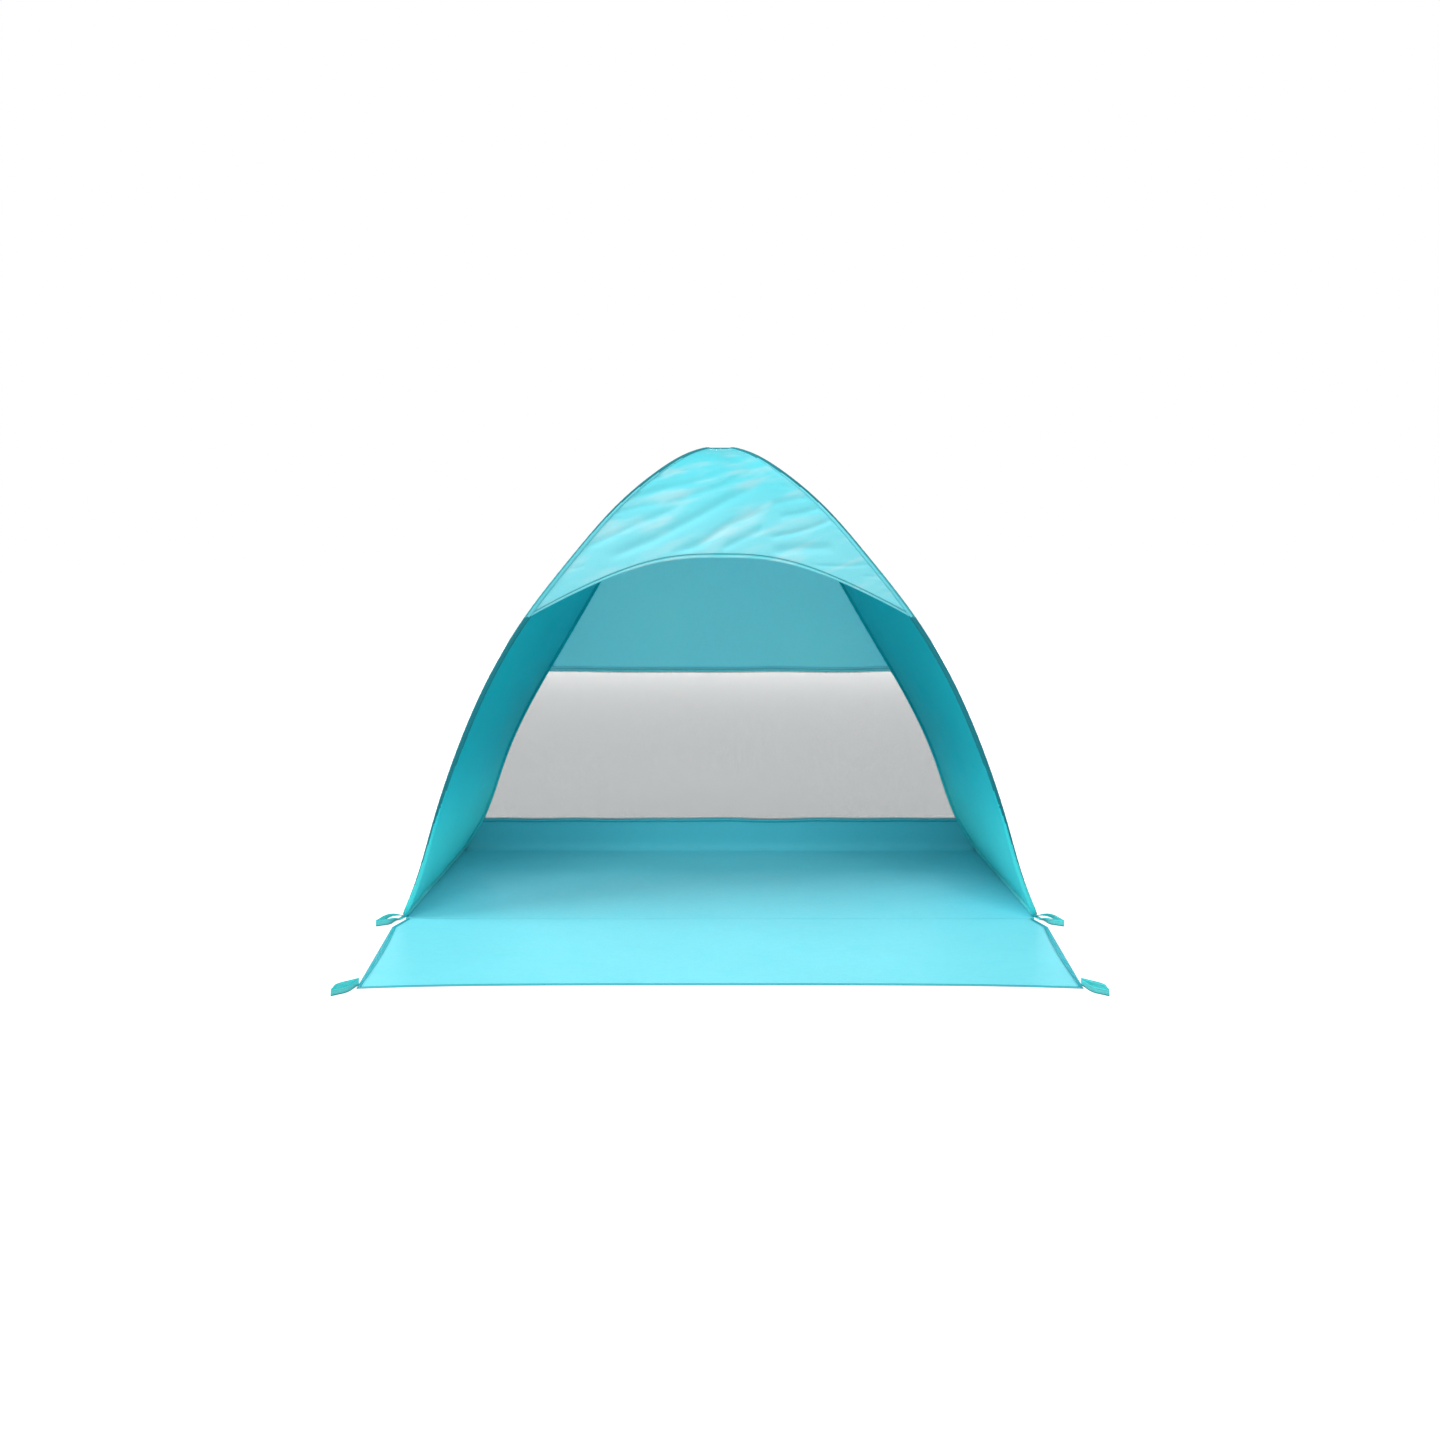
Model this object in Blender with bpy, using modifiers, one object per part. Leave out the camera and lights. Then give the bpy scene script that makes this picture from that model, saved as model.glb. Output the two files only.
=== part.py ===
"""A self-opening beach tent, worked out from its two sprung hoops.

Run it with blender --background --python part.py, or from Blender's text editor.
Metres, +Z up. The mouth looks along -Y, and the origin lies on the ground under the
middle of the groundsheet. Every cloth panel is spanned between the hoops, so it takes
its edges from the same stations along them.
"""

import math

import bmesh
import bpy
import numpy as np

# Overall sizes
FOOT_SPREAD = 1.53  # between the hoops' centrelines at the front feet
REAR_SPREAD = 1.484  # the same at the rear corners
TENT_DEPTH = 0.88  # front feet to rear corners
PEAK_HEIGHT = 1.14  # ground to the top of the sleeves
PEAK_SETBACK = 0.46  # front feet to the peak
PEAK_SPREAD = 0.062  # between the hoops' centrelines at the peak
CORNER_BEND = 0.03  # each leg of a hoop's rounded corner

# Hoops and the sleeves round them
WIRE_RADIUS = 0.0015
FERRULE_WALL = 0.0012
FERRULE_LENGTH = 0.04
SLEEVE_RADIUS = 0.005
SLEEVE_WALL = 0.0012
CLEARANCE = 0.0003  # between neighbouring pieces

# Cloth
CLOTH = 0.001
BAND_WIDTH = 0.012  # hems and seam tapes
BAND_THICKNESS = 0.002
WALL_DISH = 0.02  # how far a side wall is drawn in at its middle
CANOPY_DISH = 0.012  # the same for the visor and the back

# Mat
MAT_LENGTH = 0.622
MAT_REAR_WIDTH = 1.508
MAT_SHOULDER_WIDTH = 1.552
MAT_SHOULDER_SETBACK = 0.09
MAT_FRONT_WIDTH = 1.506
MAT_CORNER_PULL = 0.028  # how far the pegs draw the front corners out
MAT_SETBACK = 0.0068  # front feet to the mat's hinge line

# Folds of the visor
FOLD_DEPTH = 0.004
FOLD_SPACING = 0.13
FOLD_SLOPE = math.radians(24)

# Peg loops
WEBBING_WIDTH = 0.015
WEBBING_THICKNESS = 0.0016
LOOP_LENGTH = 0.095
EYE_WIDTH = 0.018
LOOP_ROOT_RADIUS = 0.003
MAT_LOOP_SETBACK = 0.032  # from the mat's front corner back to its loop
FOOT_LOOP_FLARE = math.radians(20)  # out from the mat's side edge
MAT_LOOP_FLARE = math.radians(26)
REAR_LOOP_HEADING = math.radians(40)

# Heights of the visor's lower edge and of the window, as shares of the peak's height
VISOR_END_SHARE = 0.635  # where the lower edge meets the hoops
VISOR_MID_SHARE = 0.7614  # in the middle
WINDOW_BOTTOM_SHARE = 0.0772
WINDOW_TOP_SHARE = 0.464

# Shares of height and of half width along the risers, and other shares
FRONT_RISER_SHARES = (
    (0.065, 0.960),
    (0.20, 0.899),
    (0.36, 0.819),
    (0.50, 0.729),
    (0.64, 0.606),
    (0.76, 0.469),
    (0.87, 0.329),
    (0.945, 0.201),
    (0.985, 0.106),
)
REAR_RISER_SHARES = (
    (0.07, 0.932),
    (0.23, 0.838),
    (0.37, 0.740),
    (0.54, 0.588),
    (0.69, 0.452),
    (0.82, 0.330),
    (0.92, 0.220),
    (0.98, 0.115),
)
PROFILE_SHARE = 2.5  # roundness of the side view: 2 is an ellipse, more is fuller
ARCH_SHARE = 2.8  # roundness of the visor's lower edge
PULL_SHARE = 4  # how near the corners the mat's front edge bends out
FERRULE_PLACE_SHARE = 0.65  # along the ground run of the hoop
EYE_BULGE_SHARE = 0.62  # where along a peg loop its eye is widest
MERGE_SHARE = 0.1  # of the clearance: points nearer than this are one

# Counts of steps
SPLINE_STEPS = 40
CORNER_STEPS = 4
LEVEL_STEPS = (1, 1, 4, 1, 2, 1, 11, 1)
WALL_COLUMNS = 8
CANOPY_COLUMNS = 10
VISOR_COLUMNS = 30
MAT_ROWS = 8
LOOP_STEPS = 14

# Colours, 0 to 255, with roughness and metallic
OUTER_CYAN = (125, 237, 248)
FLOOR_CYAN = (135, 238, 250)
SHADE_TEAL = (88, 186, 202)
WALL_TEAL = (60, 190, 206)
TRIM_TEAL = (70, 190, 205)
WINDOW_GREY = (205, 205, 205)
LOOP_CYAN = (95, 222, 232)
STEEL_GREY = (150, 152, 155)

GROUND_LEVEL = SLEEVE_RADIUS  # of a hoop's centreline where it lies on the ground
TOP_LEVEL = PEAK_HEIGHT - SLEEVE_RADIUS
VISOR_END_HEIGHT = VISOR_END_SHARE * PEAK_HEIGHT
VISOR_MID_HEIGHT = VISOR_MID_SHARE * PEAK_HEIGHT
WINDOW_BOTTOM = WINDOW_BOTTOM_SHARE * PEAK_HEIGHT
WINDOW_TOP = WINDOW_TOP_SHARE * PEAK_HEIGHT
FOOT_Y = -TENT_DEPTH / 2
REAR_Y = TENT_DEPTH / 2
PEAK_Y = FOOT_Y + PEAK_SETBACK
HINGE_Y = FOOT_Y - MAT_SETBACK
HINGE_Z = CLOTH
EDGE_OFFSET = SLEEVE_RADIUS + CLEARANCE  # hoop's centreline to the edge of a panel
CUFF = BAND_WIDTH / 2 + CLEARANCE  # straight bit of a hoop on each side of the peak
LEFT = -1
RIGHT = 1
FRONT = 1
REAR = -1
SIDES = ((LEFT, "left"), (RIGHT, "right"))


def clear_scene():
    for old in list(bpy.data.objects):
        bpy.data.objects.remove(old, do_unlink=True)


def linear(value):
    """One 0 to 255 colour value as the linear value that a shader takes."""
    share = value / 255
    return share / 12.92 if share <= 0.04045 else ((share + 0.055) / 1.055) ** 2.4


def finish(name, colour, roughness, metallic=0.0):
    material = bpy.data.materials.new(name)
    material.use_nodes = True
    shader = material.node_tree.nodes["Principled BSDF"]
    shader.inputs["Base Color"].default_value = (*(linear(c) for c in colour), 1)
    shader.inputs["Roughness"].default_value = roughness
    shader.inputs["Metallic"].default_value = metallic
    return material


def place(obj, collection, material, parent=None):
    collection.objects.link(obj)
    obj.data.materials.append(material)
    obj.parent = parent
    return obj


def natural_spline(points):
    """A bent wire's curve through the points, as many close points along it."""
    points = np.asarray(points, float)
    knots = np.concatenate([[0], np.cumsum(np.linalg.norm(np.diff(points, axis=0), axis=1))])
    gaps = np.diff(knots)[:, None]
    system = np.eye(len(points))
    bend = np.zeros_like(points)
    for i in range(1, len(points) - 1):
        before, after = gaps[i - 1, 0], gaps[i, 0]
        system[i, i - 1 : i + 2] = before, 2 * (before + after), after
        rise = (points[i + 1] - points[i]) / after - (points[i] - points[i - 1]) / before
        bend[i] = 6 * rise
    bend = np.linalg.solve(system, bend)
    run = np.linspace(0, 1, SPLINE_STEPS, endpoint=False)[None, :, None]
    rest = 1 - run
    square = (gaps**2 / 6)[:, None]
    curve = (
        rest * points[:-1, None]
        + run * points[1:, None]
        + square * ((rest**3 - rest) * bend[:-1, None] + (run**3 - run) * bend[1:, None])
    )
    return np.vstack([curve.reshape(-1, 3), points[-1:]])


def length_along(points):
    steps = np.linalg.norm(np.diff(points, axis=0), axis=1)
    return np.concatenate([[0], np.cumsum(steps)])


def sample(points, at):
    """Points of a polyline at the given lengths along it."""
    along = length_along(points)
    return np.stack([np.interp(at, along, points[:, k]) for k in range(3)], axis=1)


def unit(vectors):
    return vectors / np.linalg.norm(vectors, axis=-1, keepdims=True)


def tangents(points):
    """The direction at each point of a polyline, halfway between its two segments."""
    steps = unit(np.diff(points, axis=0))
    return unit(np.vstack([steps[:1], steps[:-1] + steps[1:], steps[-1:]]))


def beside(points, aim):
    """The line that keeps a panel's edge clear of the sleeve, on the side of aim."""
    along = tangents(points)
    across = aim - np.sum(aim * along, axis=1, keepdims=True) * along
    return points + EDGE_OFFSET * unit(across)


def riser_point(height_share, width_share, half_spread, foot_y):
    """A point of a riser: its side view is a superellipse between the foot and the peak."""
    reach = (1 - height_share**2) ** (1 / PROFILE_SHARE)
    height = GROUND_LEVEL + height_share * (TOP_LEVEL - GROUND_LEVEL)
    return width_share * half_spread, PEAK_Y + (foot_y - PEAK_Y) * reach, height


def whole_hoop_curve():
    """The right hoop over the peak, from the front foot to the rear corner."""
    front = [riser_point(h, w, FOOT_SPREAD / 2, FOOT_Y) for h, w in FRONT_RISER_SHARES]
    rear = [riser_point(h, w, REAR_SPREAD / 2, REAR_Y) for h, w in REAR_RISER_SHARES]
    foot = (FOOT_SPREAD / 2, FOOT_Y, GROUND_LEVEL)
    corner = (REAR_SPREAD / 2, REAR_Y, GROUND_LEVEL)
    peak = (PEAK_SPREAD / 2, PEAK_Y, TOP_LEVEL)
    return natural_spline([foot, *front, peak, *rear[::-1], corner])


def corner_bend(on_ground, corner, on_riser):
    """The hoop's rounded corner: a parabola that touches both legs."""
    t = np.linspace(0, 1, CORNER_STEPS + 1)[:, None]
    return (1 - t) ** 2 * on_ground + 2 * t * (1 - t) * corner + t**2 * on_riser


def riser_stations(riser, other_corner):
    """Stations from the ground run, round the corner and up to the peak."""
    along = length_along(riser)
    rising = riser[:, 2] < TOP_LEVEL - CUFF
    heights = (
        GROUND_LEVEL + CORNER_BEND,
        WINDOW_BOTTOM - BAND_WIDTH / 2,
        WINDOW_BOTTOM + BAND_WIDTH / 2,
        WINDOW_TOP - BAND_WIDTH / 2,
        WINDOW_TOP + BAND_WIDTH / 2,
        VISOR_END_HEIGHT,
    )
    marks = list(np.interp(heights, riser[rising, 2], along[rising]))
    marks += [marks[-1] + BAND_WIDTH, along[-1] - CUFF, along[-1]]
    stations = [marks[0]]
    for start, end, steps in zip(marks[:-1], marks[1:], LEVEL_STEPS):
        stations += list(np.linspace(start, end, steps + 1)[1:])
    points = sample(riser, stations)
    corner = riser[0]
    run = unit(other_corner - corner)
    bend = corner_bend(corner + CORNER_BEND * run, corner, points[0])
    ground_end = corner + (CORNER_BEND + CUFF) * run
    return np.vstack([ground_end, bend[:-1], points])


def level(mark):
    """Index of the station at a mark: 0 is the top of the corner, then as in LEVEL_STEPS."""
    return 1 + CORNER_STEPS + sum(LEVEL_STEPS[:mark])


WINDOW_LOW, WINDOW_SILL, WINDOW_LINTEL, WINDOW_HIGH = level(1), level(2), level(3), level(4)
VISOR_HEM, VISOR_EDGE, PEAK_CUFF, PEAK = level(5), level(6), level(7), level(8)


def mirrored(points, side):
    return points * np.array([side, 1, 1])


def tidy(mesh):
    """Merges the points where rows run together, and drops faces of no area."""
    model = bmesh.new()
    model.from_mesh(mesh)
    bmesh.ops.remove_doubles(model, verts=model.verts, dist=CLEARANCE * MERGE_SHARE)
    bmesh.ops.dissolve_degenerate(model, edges=model.edges, dist=CLEARANCE * MERGE_SHARE)
    model.to_mesh(mesh)
    model.free()


def loft(name, rows, thickness, material, collection, parent=None, hinge=(0, 0, 0)):
    """A cloth sheet through rows of points, with its thickness on both sides."""
    rows = np.asarray(rows, float) - np.array(hinge)
    count, width = rows.shape[:2]
    index = np.arange(count * width).reshape(count, width)
    faces = np.stack([index[:-1, :-1], index[:-1, 1:], index[1:, 1:], index[1:, :-1]], -1)
    mesh = bpy.data.meshes.new(name)
    mesh.from_pydata(rows.reshape(-1, 3).tolist(), [], faces.reshape(-1, 4).tolist())
    tidy(mesh)
    mesh.shade_smooth()
    obj = place(bpy.data.objects.new(name, mesh), collection, material, parent)
    solidify = obj.modifiers.new("thickness", "SOLIDIFY")
    solidify.thickness = thickness
    solidify.offset = 0
    return obj


def line_curve(name, points, radius, resolution, closed=False):
    curve = bpy.data.curves.new(name, "CURVE")
    curve.dimensions = "3D"
    curve.bevel_depth = radius
    curve.bevel_resolution = resolution
    spline = curve.splines.new("POLY")
    spline.points.add(len(points) - 1)
    for point, xyz in zip(spline.points, points):
        point.co = (*xyz, 1)
    spline.use_cyclic_u = closed
    return bpy.data.objects.new(name, curve)


def sleeve(name, points, material, collection):
    """A run of the cloth channel that holds the hoop, open at both ends."""
    points = np.array(points)
    points[0] += CLEARANCE / 2 * unit(points[1] - points[0])
    points[-1] += CLEARANCE / 2 * unit(points[-2] - points[-1])
    obj = place(line_curve(name, points, SLEEVE_RADIUS, 2), collection, material)
    wall = obj.modifiers.new("wall", "SOLIDIFY")
    wall.thickness = SLEEVE_WALL
    wall.offset = -1
    return obj


def hoop(side, label, front, rear, finishes, collection):
    """The sprung wire, the crimped ferrule that joins its ends, and its three sleeves."""
    loop = np.vstack([front, rear[-2::-1]])
    wire = line_curve(f"spring_hoop_{label}", mirrored(loop, side), WIRE_RADIUS, 1, closed=True)
    place(wire, collection, finishes["steel"])
    middle = front[0] + FERRULE_PLACE_SHARE * (rear[0] - front[0])
    half = FERRULE_LENGTH / 2 * unit(rear[0] - front[0])
    ends = mirrored(np.array([middle - half, middle + half]), side)
    outside = WIRE_RADIUS + CLEARANCE + FERRULE_WALL
    ferrule = line_curve(f"hoop_ferrule_{label}", ends, outside, 2)
    place(ferrule, collection, finishes["steel"])
    wall = ferrule.modifiers.new("wall", "SOLIDIFY")
    wall.thickness = FERRULE_WALL
    wall.offset = -1
    for name, line in (
        ("front_sleeve", front),
        ("rear_sleeve", rear),
        ("ground_sleeve", np.array([front[0], rear[0]])),
    ):
        sleeve(f"{name}_{label}", mirrored(line, side), finishes["trim"], collection)


def side_wall(side, label, front, rear, material, collection):
    """The side panel: rungs from the front riser to the rear one, drawn in at the middle."""
    hub = (front[WINDOW_LINTEL] + rear[WINDOW_LINTEL]) / 2
    front_edge = beside(front, hub - front)
    rear_edge = beside(rear, hub - rear)
    rear_edge[-1] = front_edge[-1]
    u = np.linspace(0, 1, WALL_COLUMNS + 1)[None, :, None]
    rows = (1 - u) * front_edge[:, None] + u * rear_edge[:, None]
    rungs = rear_edge - front_edge
    inward = np.cross(rungs, tangents(front))
    lengths = np.linalg.norm(inward, axis=1, keepdims=True)
    inward = inward / np.maximum(lengths, CLEARANCE)
    inward *= -np.sign(inward[:, :1])
    climbed = length_along(front) / length_along(front)[-1]
    depth = WALL_DISH * np.sin(math.pi * climbed)[:, None]
    rows += np.sin(math.pi * u) * (depth * inward)[:, None]
    loft(f"side_wall_{label}", mirrored(rows, side), CLOTH, material, collection)


def span_point(edge, along, u, dish, facing=FRONT):
    """Points between an edge and its mirror image, at lengths along it and shares u across.

    The panel is drawn towards the inside of the tent by dish in the middle. Facing says
    which end of the tent it closes, the front or the rear.
    """
    marks = length_along(edge)
    shape = np.broadcast(along, u).shape
    along, u = (np.broadcast_to(v, shape).ravel() for v in (along, u))
    points = sample(edge, along)
    ahead = tangents(edge)
    slope = np.stack([np.interp(along, marks, ahead[:, k]) for k in range(3)], axis=1)
    inward = facing * unit(np.stack([np.zeros_like(u), slope[:, 2], -slope[:, 1]], axis=1))
    points[:, 0] *= u
    climbed = along / marks[-1]
    points += (dish * np.sin(math.pi * climbed) * (1 - u**2))[:, None] * inward
    return points.reshape(*shape, 3), inward.reshape(*shape, 3)


def trimmed(rows, first=False, last=False):
    """Pulls an end row back, to leave the clearance to the next panel."""
    rows = rows.copy()
    if first:
        rows[0] += CLEARANCE * unit(rows[1] - rows[0])
    if last:
        rows[-1] += CLEARANCE * unit(rows[-2] - rows[-1])
    return rows


def back_panels(rear, finishes, collection):
    """Groundsheet turned up at the back, window with its two tapes, and the upper back."""
    edge = beside(rear, np.array([-1.0, 0.0, 0.0]))
    marks = length_along(edge)
    u = np.linspace(-1, 1, CANOPY_COLUMNS + 1)[None, :]

    def span(start, end, **trim):
        rows, _ = span_point(edge, marks[start : end + 1, None], u, CANOPY_DISH, REAR)
        return trimmed(rows, **trim)

    window = span(WINDOW_SILL, WINDOW_LINTEL, first=True, last=True)
    loft("mesh_window", window, CLOTH, finishes["window"], collection)
    for name, start in (("window_bottom_tape", WINDOW_LOW), ("window_top_tape", WINDOW_LINTEL)):
        loft(name, span(start, start + 1), BAND_THICKNESS, finishes["trim"], collection)
    upper = span(WINDOW_HIGH, PEAK_CUFF, first=True)
    loft("back_panel", upper, CLOTH, finishes["shade"], collection)
    return span(1, WINDOW_LOW, last=True)


def groundsheet(front, turned_up, material, collection):
    """The floor, from the mat's hinge line to the back, where it turns up to the window."""
    flat = CLOTH / 2
    u = np.linspace(-1, 1, CANOPY_COLUMNS + 1)
    rear_half = turned_up[0, -1, 0]
    rear_y = turned_up[0, 0, 1]
    front_half = front[0, 0] - EDGE_OFFSET
    rows = []
    for y in (HINGE_Y + CLEARANCE, front[0, 1], (front[0, 1] + rear_y) / 2, rear_y):
        back = max(0, (y - front[0, 1]) / (rear_y - front[0, 1]))
        half = front_half + back * (rear_half - front_half)
        rows.append(np.stack([u * half, np.full_like(u, y), np.full_like(u, flat)], axis=1))
    lifted = turned_up[1:].copy()
    sink = (GROUND_LEVEL - flat) * np.linspace(1, 0, len(lifted) + 1)[1:]
    lifted[..., 2] -= sink[:, None]
    loft("groundsheet", np.concatenate([rows, lifted]), CLOTH, material, collection)


def peak_binding(front, rear, material, collection):
    """The tape over the seam between the visor and the back, from hoop to hoop."""
    inward = np.array([-1.0, 0.0, 0.0])
    line = np.vstack([front[PEAK_CUFF], front[PEAK], rear[PEAK_CUFF]])
    edge = beside(line, inward)
    edge[0, 1] += CLEARANCE
    edge[-1, 1] -= CLEARANCE
    u = np.linspace(-1, 1, 3)[None, :]
    rows, _ = span_point(edge, length_along(edge)[:, None], u, 0)
    loft("peak_binding", rows, BAND_THICKNESS, material, collection)


def visor(front, finishes, collection):
    """The canopy over the mouth, with soft slanting folds, and the hem on its arched edge."""
    edge = beside(front, np.array([-1.0, 0.0, 0.0]))
    marks = length_along(edge)
    middle = np.interp(VISOR_MID_HEIGHT, edge[: PEAK_CUFF + 1, 2], marks[: PEAK_CUFF + 1])
    u = np.linspace(-1, 1, VISOR_COLUMNS + 1)[None, :]
    arch = (middle - marks[VISOR_HEM]) * (1 - np.abs(u) ** ARCH_SHARE)
    low = marks[VISOR_HEM] + arch
    high = low + (marks[VISOR_EDGE] - marks[VISOR_HEM])
    hem, _ = span_point(edge, low + np.array([[0], [1]]) * (high - low), u, CANOPY_DISH)
    loft("visor_hem", hem, BAND_THICKNESS, finishes["outer"], collection)

    rise = (marks[VISOR_EDGE : PEAK_CUFF + 1] - marks[VISOR_EDGE])[:, None]
    share = rise / rise[-1]
    along = high + share * (marks[PEAK_CUFF] - high)
    rows, inward = span_point(edge, along, u, CANOPY_DISH)
    slant = rows[..., 0] * math.sin(FOLD_SLOPE) - along * math.cos(FOLD_SLOPE)
    fade = np.sin(math.pi * share) * (1 - u**2)
    fold = FOLD_DEPTH * fade * np.sin(2 * math.pi * slant / FOLD_SPACING)
    rows += fold[..., None] * inward
    loft("visor", trimmed(rows, first=True), CLOTH, finishes["outer"], collection)


def mat_half_width(forward):
    """Half width of the mat at a distance forward of its hinge line."""
    places = (0, MAT_SHOULDER_SETBACK, MAT_LENGTH + MAT_CORNER_PULL)
    widths = (MAT_REAR_WIDTH / 2, MAT_SHOULDER_WIDTH / 2, MAT_FRONT_WIDTH / 2)
    return np.interp(forward, places, widths)


def mat_edge_heading(forward):
    """The way that the mat's right edge runs forward, as an angle from +X."""
    here, ahead = mat_half_width(np.array([forward, forward + CLEARANCE]))
    return math.atan2(-CLEARANCE, ahead - here)


def mat_points(u, v, inset):
    """Points of the mat at shares u across and v forward, inset from its sides and front."""
    front = MAT_LENGTH + MAT_CORNER_PULL * np.abs(u) ** PULL_SHARE - inset
    forward = v * front
    return np.stack([u * (mat_half_width(forward) - inset), HINGE_Y - forward], axis=-1)


def on_ground(flat_points, thickness):
    height = np.full((*flat_points.shape[:-1], 1), thickness / 2)
    return np.concatenate([flat_points, height], axis=-1)


def front_mat(finishes, collection):
    """The mat before the mouth, hinged to the groundsheet, with a hem on three sides."""
    hinge = (0, HINGE_Y, HINGE_Z)
    pivot = bpy.data.objects.new("mat_pivot", None)
    pivot.location = hinge
    collection.objects.link(pivot)

    def strip(name, points, thickness, material):
        rows = on_ground(points, thickness)
        loft(name, rows, thickness, material, collection, pivot, hinge)

    v = np.linspace(0, 1, MAT_ROWS + 1)
    u = np.linspace(-1, 1, CANOPY_COLUMNS + 1)
    grid_u, grid_v = np.meshgrid(u, v)
    strip("front_mat", mat_points(grid_u, grid_v, BAND_WIDTH + CLEARANCE), CLOTH, finishes["floor"])
    for side, label in SIDES:
        ends = np.full_like(v, side)
        hem = np.stack([mat_points(ends, v, BAND_WIDTH), mat_points(ends, v, 0)], axis=1)
        strip(f"mat_hem_{label}", hem, BAND_THICKNESS, finishes["trim"])
    inner = mat_points(u, np.ones_like(u), BAND_WIDTH)
    outer = mat_points(u, np.ones_like(u), 0)
    outer[0, 0] = inner[0, 0]
    outer[-1, 0] = inner[-1, 0]
    front = np.stack([inner, outer], axis=1)
    front[0, :, 0] += CLEARANCE
    front[-1, :, 0] -= CLEARANCE
    strip("mat_hem_front", front, BAND_THICKNESS, finishes["trim"])
    return pivot


def loop_outline(inset):
    """A peg loop from above: round at its root, widest past the middle, round at its tip."""
    t = np.linspace(0, math.pi, LOOP_STEPS + 1)
    x = LOOP_LENGTH / 2 * (1 - np.cos(t))
    skew = np.interp(x / LOOP_LENGTH, (0, EYE_BULGE_SHARE, 1), (0, math.pi / 2, math.pi))
    width = LOOP_ROOT_RADIUS * np.sin(t) + (EYE_WIDTH / 2) * np.sin(skew) ** 2
    outer = np.stack([x, width], axis=1)
    if inset:
        ahead = unit(np.gradient(outer, axis=0))
        outer = outer + inset * np.stack([ahead[:, 1], -ahead[:, 0]], axis=1)
        outer = outer[outer[:, 1] > CLEARANCE]
    return np.vstack([outer, outer[-2:0:-1] * (1, -1)])


def peg_loop(name, root, heading, side, material, collection, parent=None):
    """A loop of webbing that stands on its edge, with its origin at the stitching."""
    curve = bpy.data.curves.new(name, "CURVE")
    curve.dimensions = "2D"
    curve.fill_mode = "BOTH"
    curve.extrude = WEBBING_WIDTH / 2
    for inset in (0, WEBBING_THICKNESS):
        outline = loop_outline(inset)
        spline = curve.splines.new("POLY")
        spline.points.add(len(outline) - 1)
        for point, (x, y) in zip(spline.points, outline):
            point.co = (x, y, 0, 1)
        spline.use_cyclic_u = True
    obj = place(bpy.data.objects.new(name, curve), collection, material, parent)
    obj.location = (side * root[0], root[1], root[2])
    obj.rotation_euler.z = heading if side > 0 else math.pi - heading
    return obj


def peg_loops(front, rear, pivot, material, collection):
    """The loops at the front feet, at the mat's front corners and at the rear corners."""
    reach = 2 * CLEARANCE
    foot = (front[0, 0] - EDGE_OFFSET + reach, HINGE_Y + SLEEVE_RADIUS / 2)
    rear_root = (rear[0, 0] + SLEEVE_RADIUS + reach, rear[0, 1])
    forward = MAT_LENGTH + MAT_CORNER_PULL - MAT_LOOP_SETBACK
    foot_heading = mat_edge_heading(0) + FOOT_LOOP_FLARE
    mat_heading = mat_edge_heading(forward) + MAT_LOOP_FLARE
    middle = WEBBING_WIDTH / 2
    for side, label in SIDES:
        peg_loop(f"foot_loop_{label}", (*foot, middle), foot_heading, side, material, collection)
        peg_loop(f"rear_loop_{label}", (*rear_root, middle), REAR_LOOP_HEADING, side, material, collection)
        on_mat = (mat_half_width(forward) + reach, -forward, middle - HINGE_Z)
        peg_loop(f"mat_loop_{label}", on_mat, mat_heading, side, material, collection, pivot)


def main():
    clear_scene()
    collection = bpy.data.collections.new("beach_tent")
    bpy.context.scene.collection.children.link(collection)
    finishes = {
        "outer": finish("canopy_cloth", OUTER_CYAN, 0.55),
        "floor": finish("floor_cloth", FLOOR_CYAN, 0.5),
        "shade": finish("back_cloth", SHADE_TEAL, 0.6),
        "wall": finish("wall_cloth", WALL_TEAL, 0.6),
        "trim": finish("trim_tape", TRIM_TEAL, 0.65),
        "window": finish("window_net", WINDOW_GREY, 0.8),
        "loop": finish("loop_webbing", LOOP_CYAN, 0.7),
        "steel": finish("spring_steel", STEEL_GREY, 0.35, 1.0),
    }
    curve = whole_hoop_curve()
    peak = int(np.argmin(np.abs(curve[:, 1] - PEAK_Y)))
    foot, corner = curve[0], curve[-1]
    front = riser_stations(curve[: peak + 1], corner)
    rear = riser_stations(curve[: peak - 1 : -1], foot)
    for side, label in SIDES:
        hoop(side, label, front, rear, finishes, collection)
        side_wall(side, label, front, rear, finishes["wall"], collection)
    visor(front, finishes, collection)
    turned_up = back_panels(rear, finishes, collection)
    groundsheet(front, turned_up, finishes["floor"], collection)
    peak_binding(front, rear, finishes["trim"], collection)
    pivot = front_mat(finishes, collection)
    peg_loops(front, rear, pivot, finishes["loop"], collection)


main()
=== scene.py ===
"""Beach tent: detailed cloth, net, tapes and peg loops over the packed frame."""

import math

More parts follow.
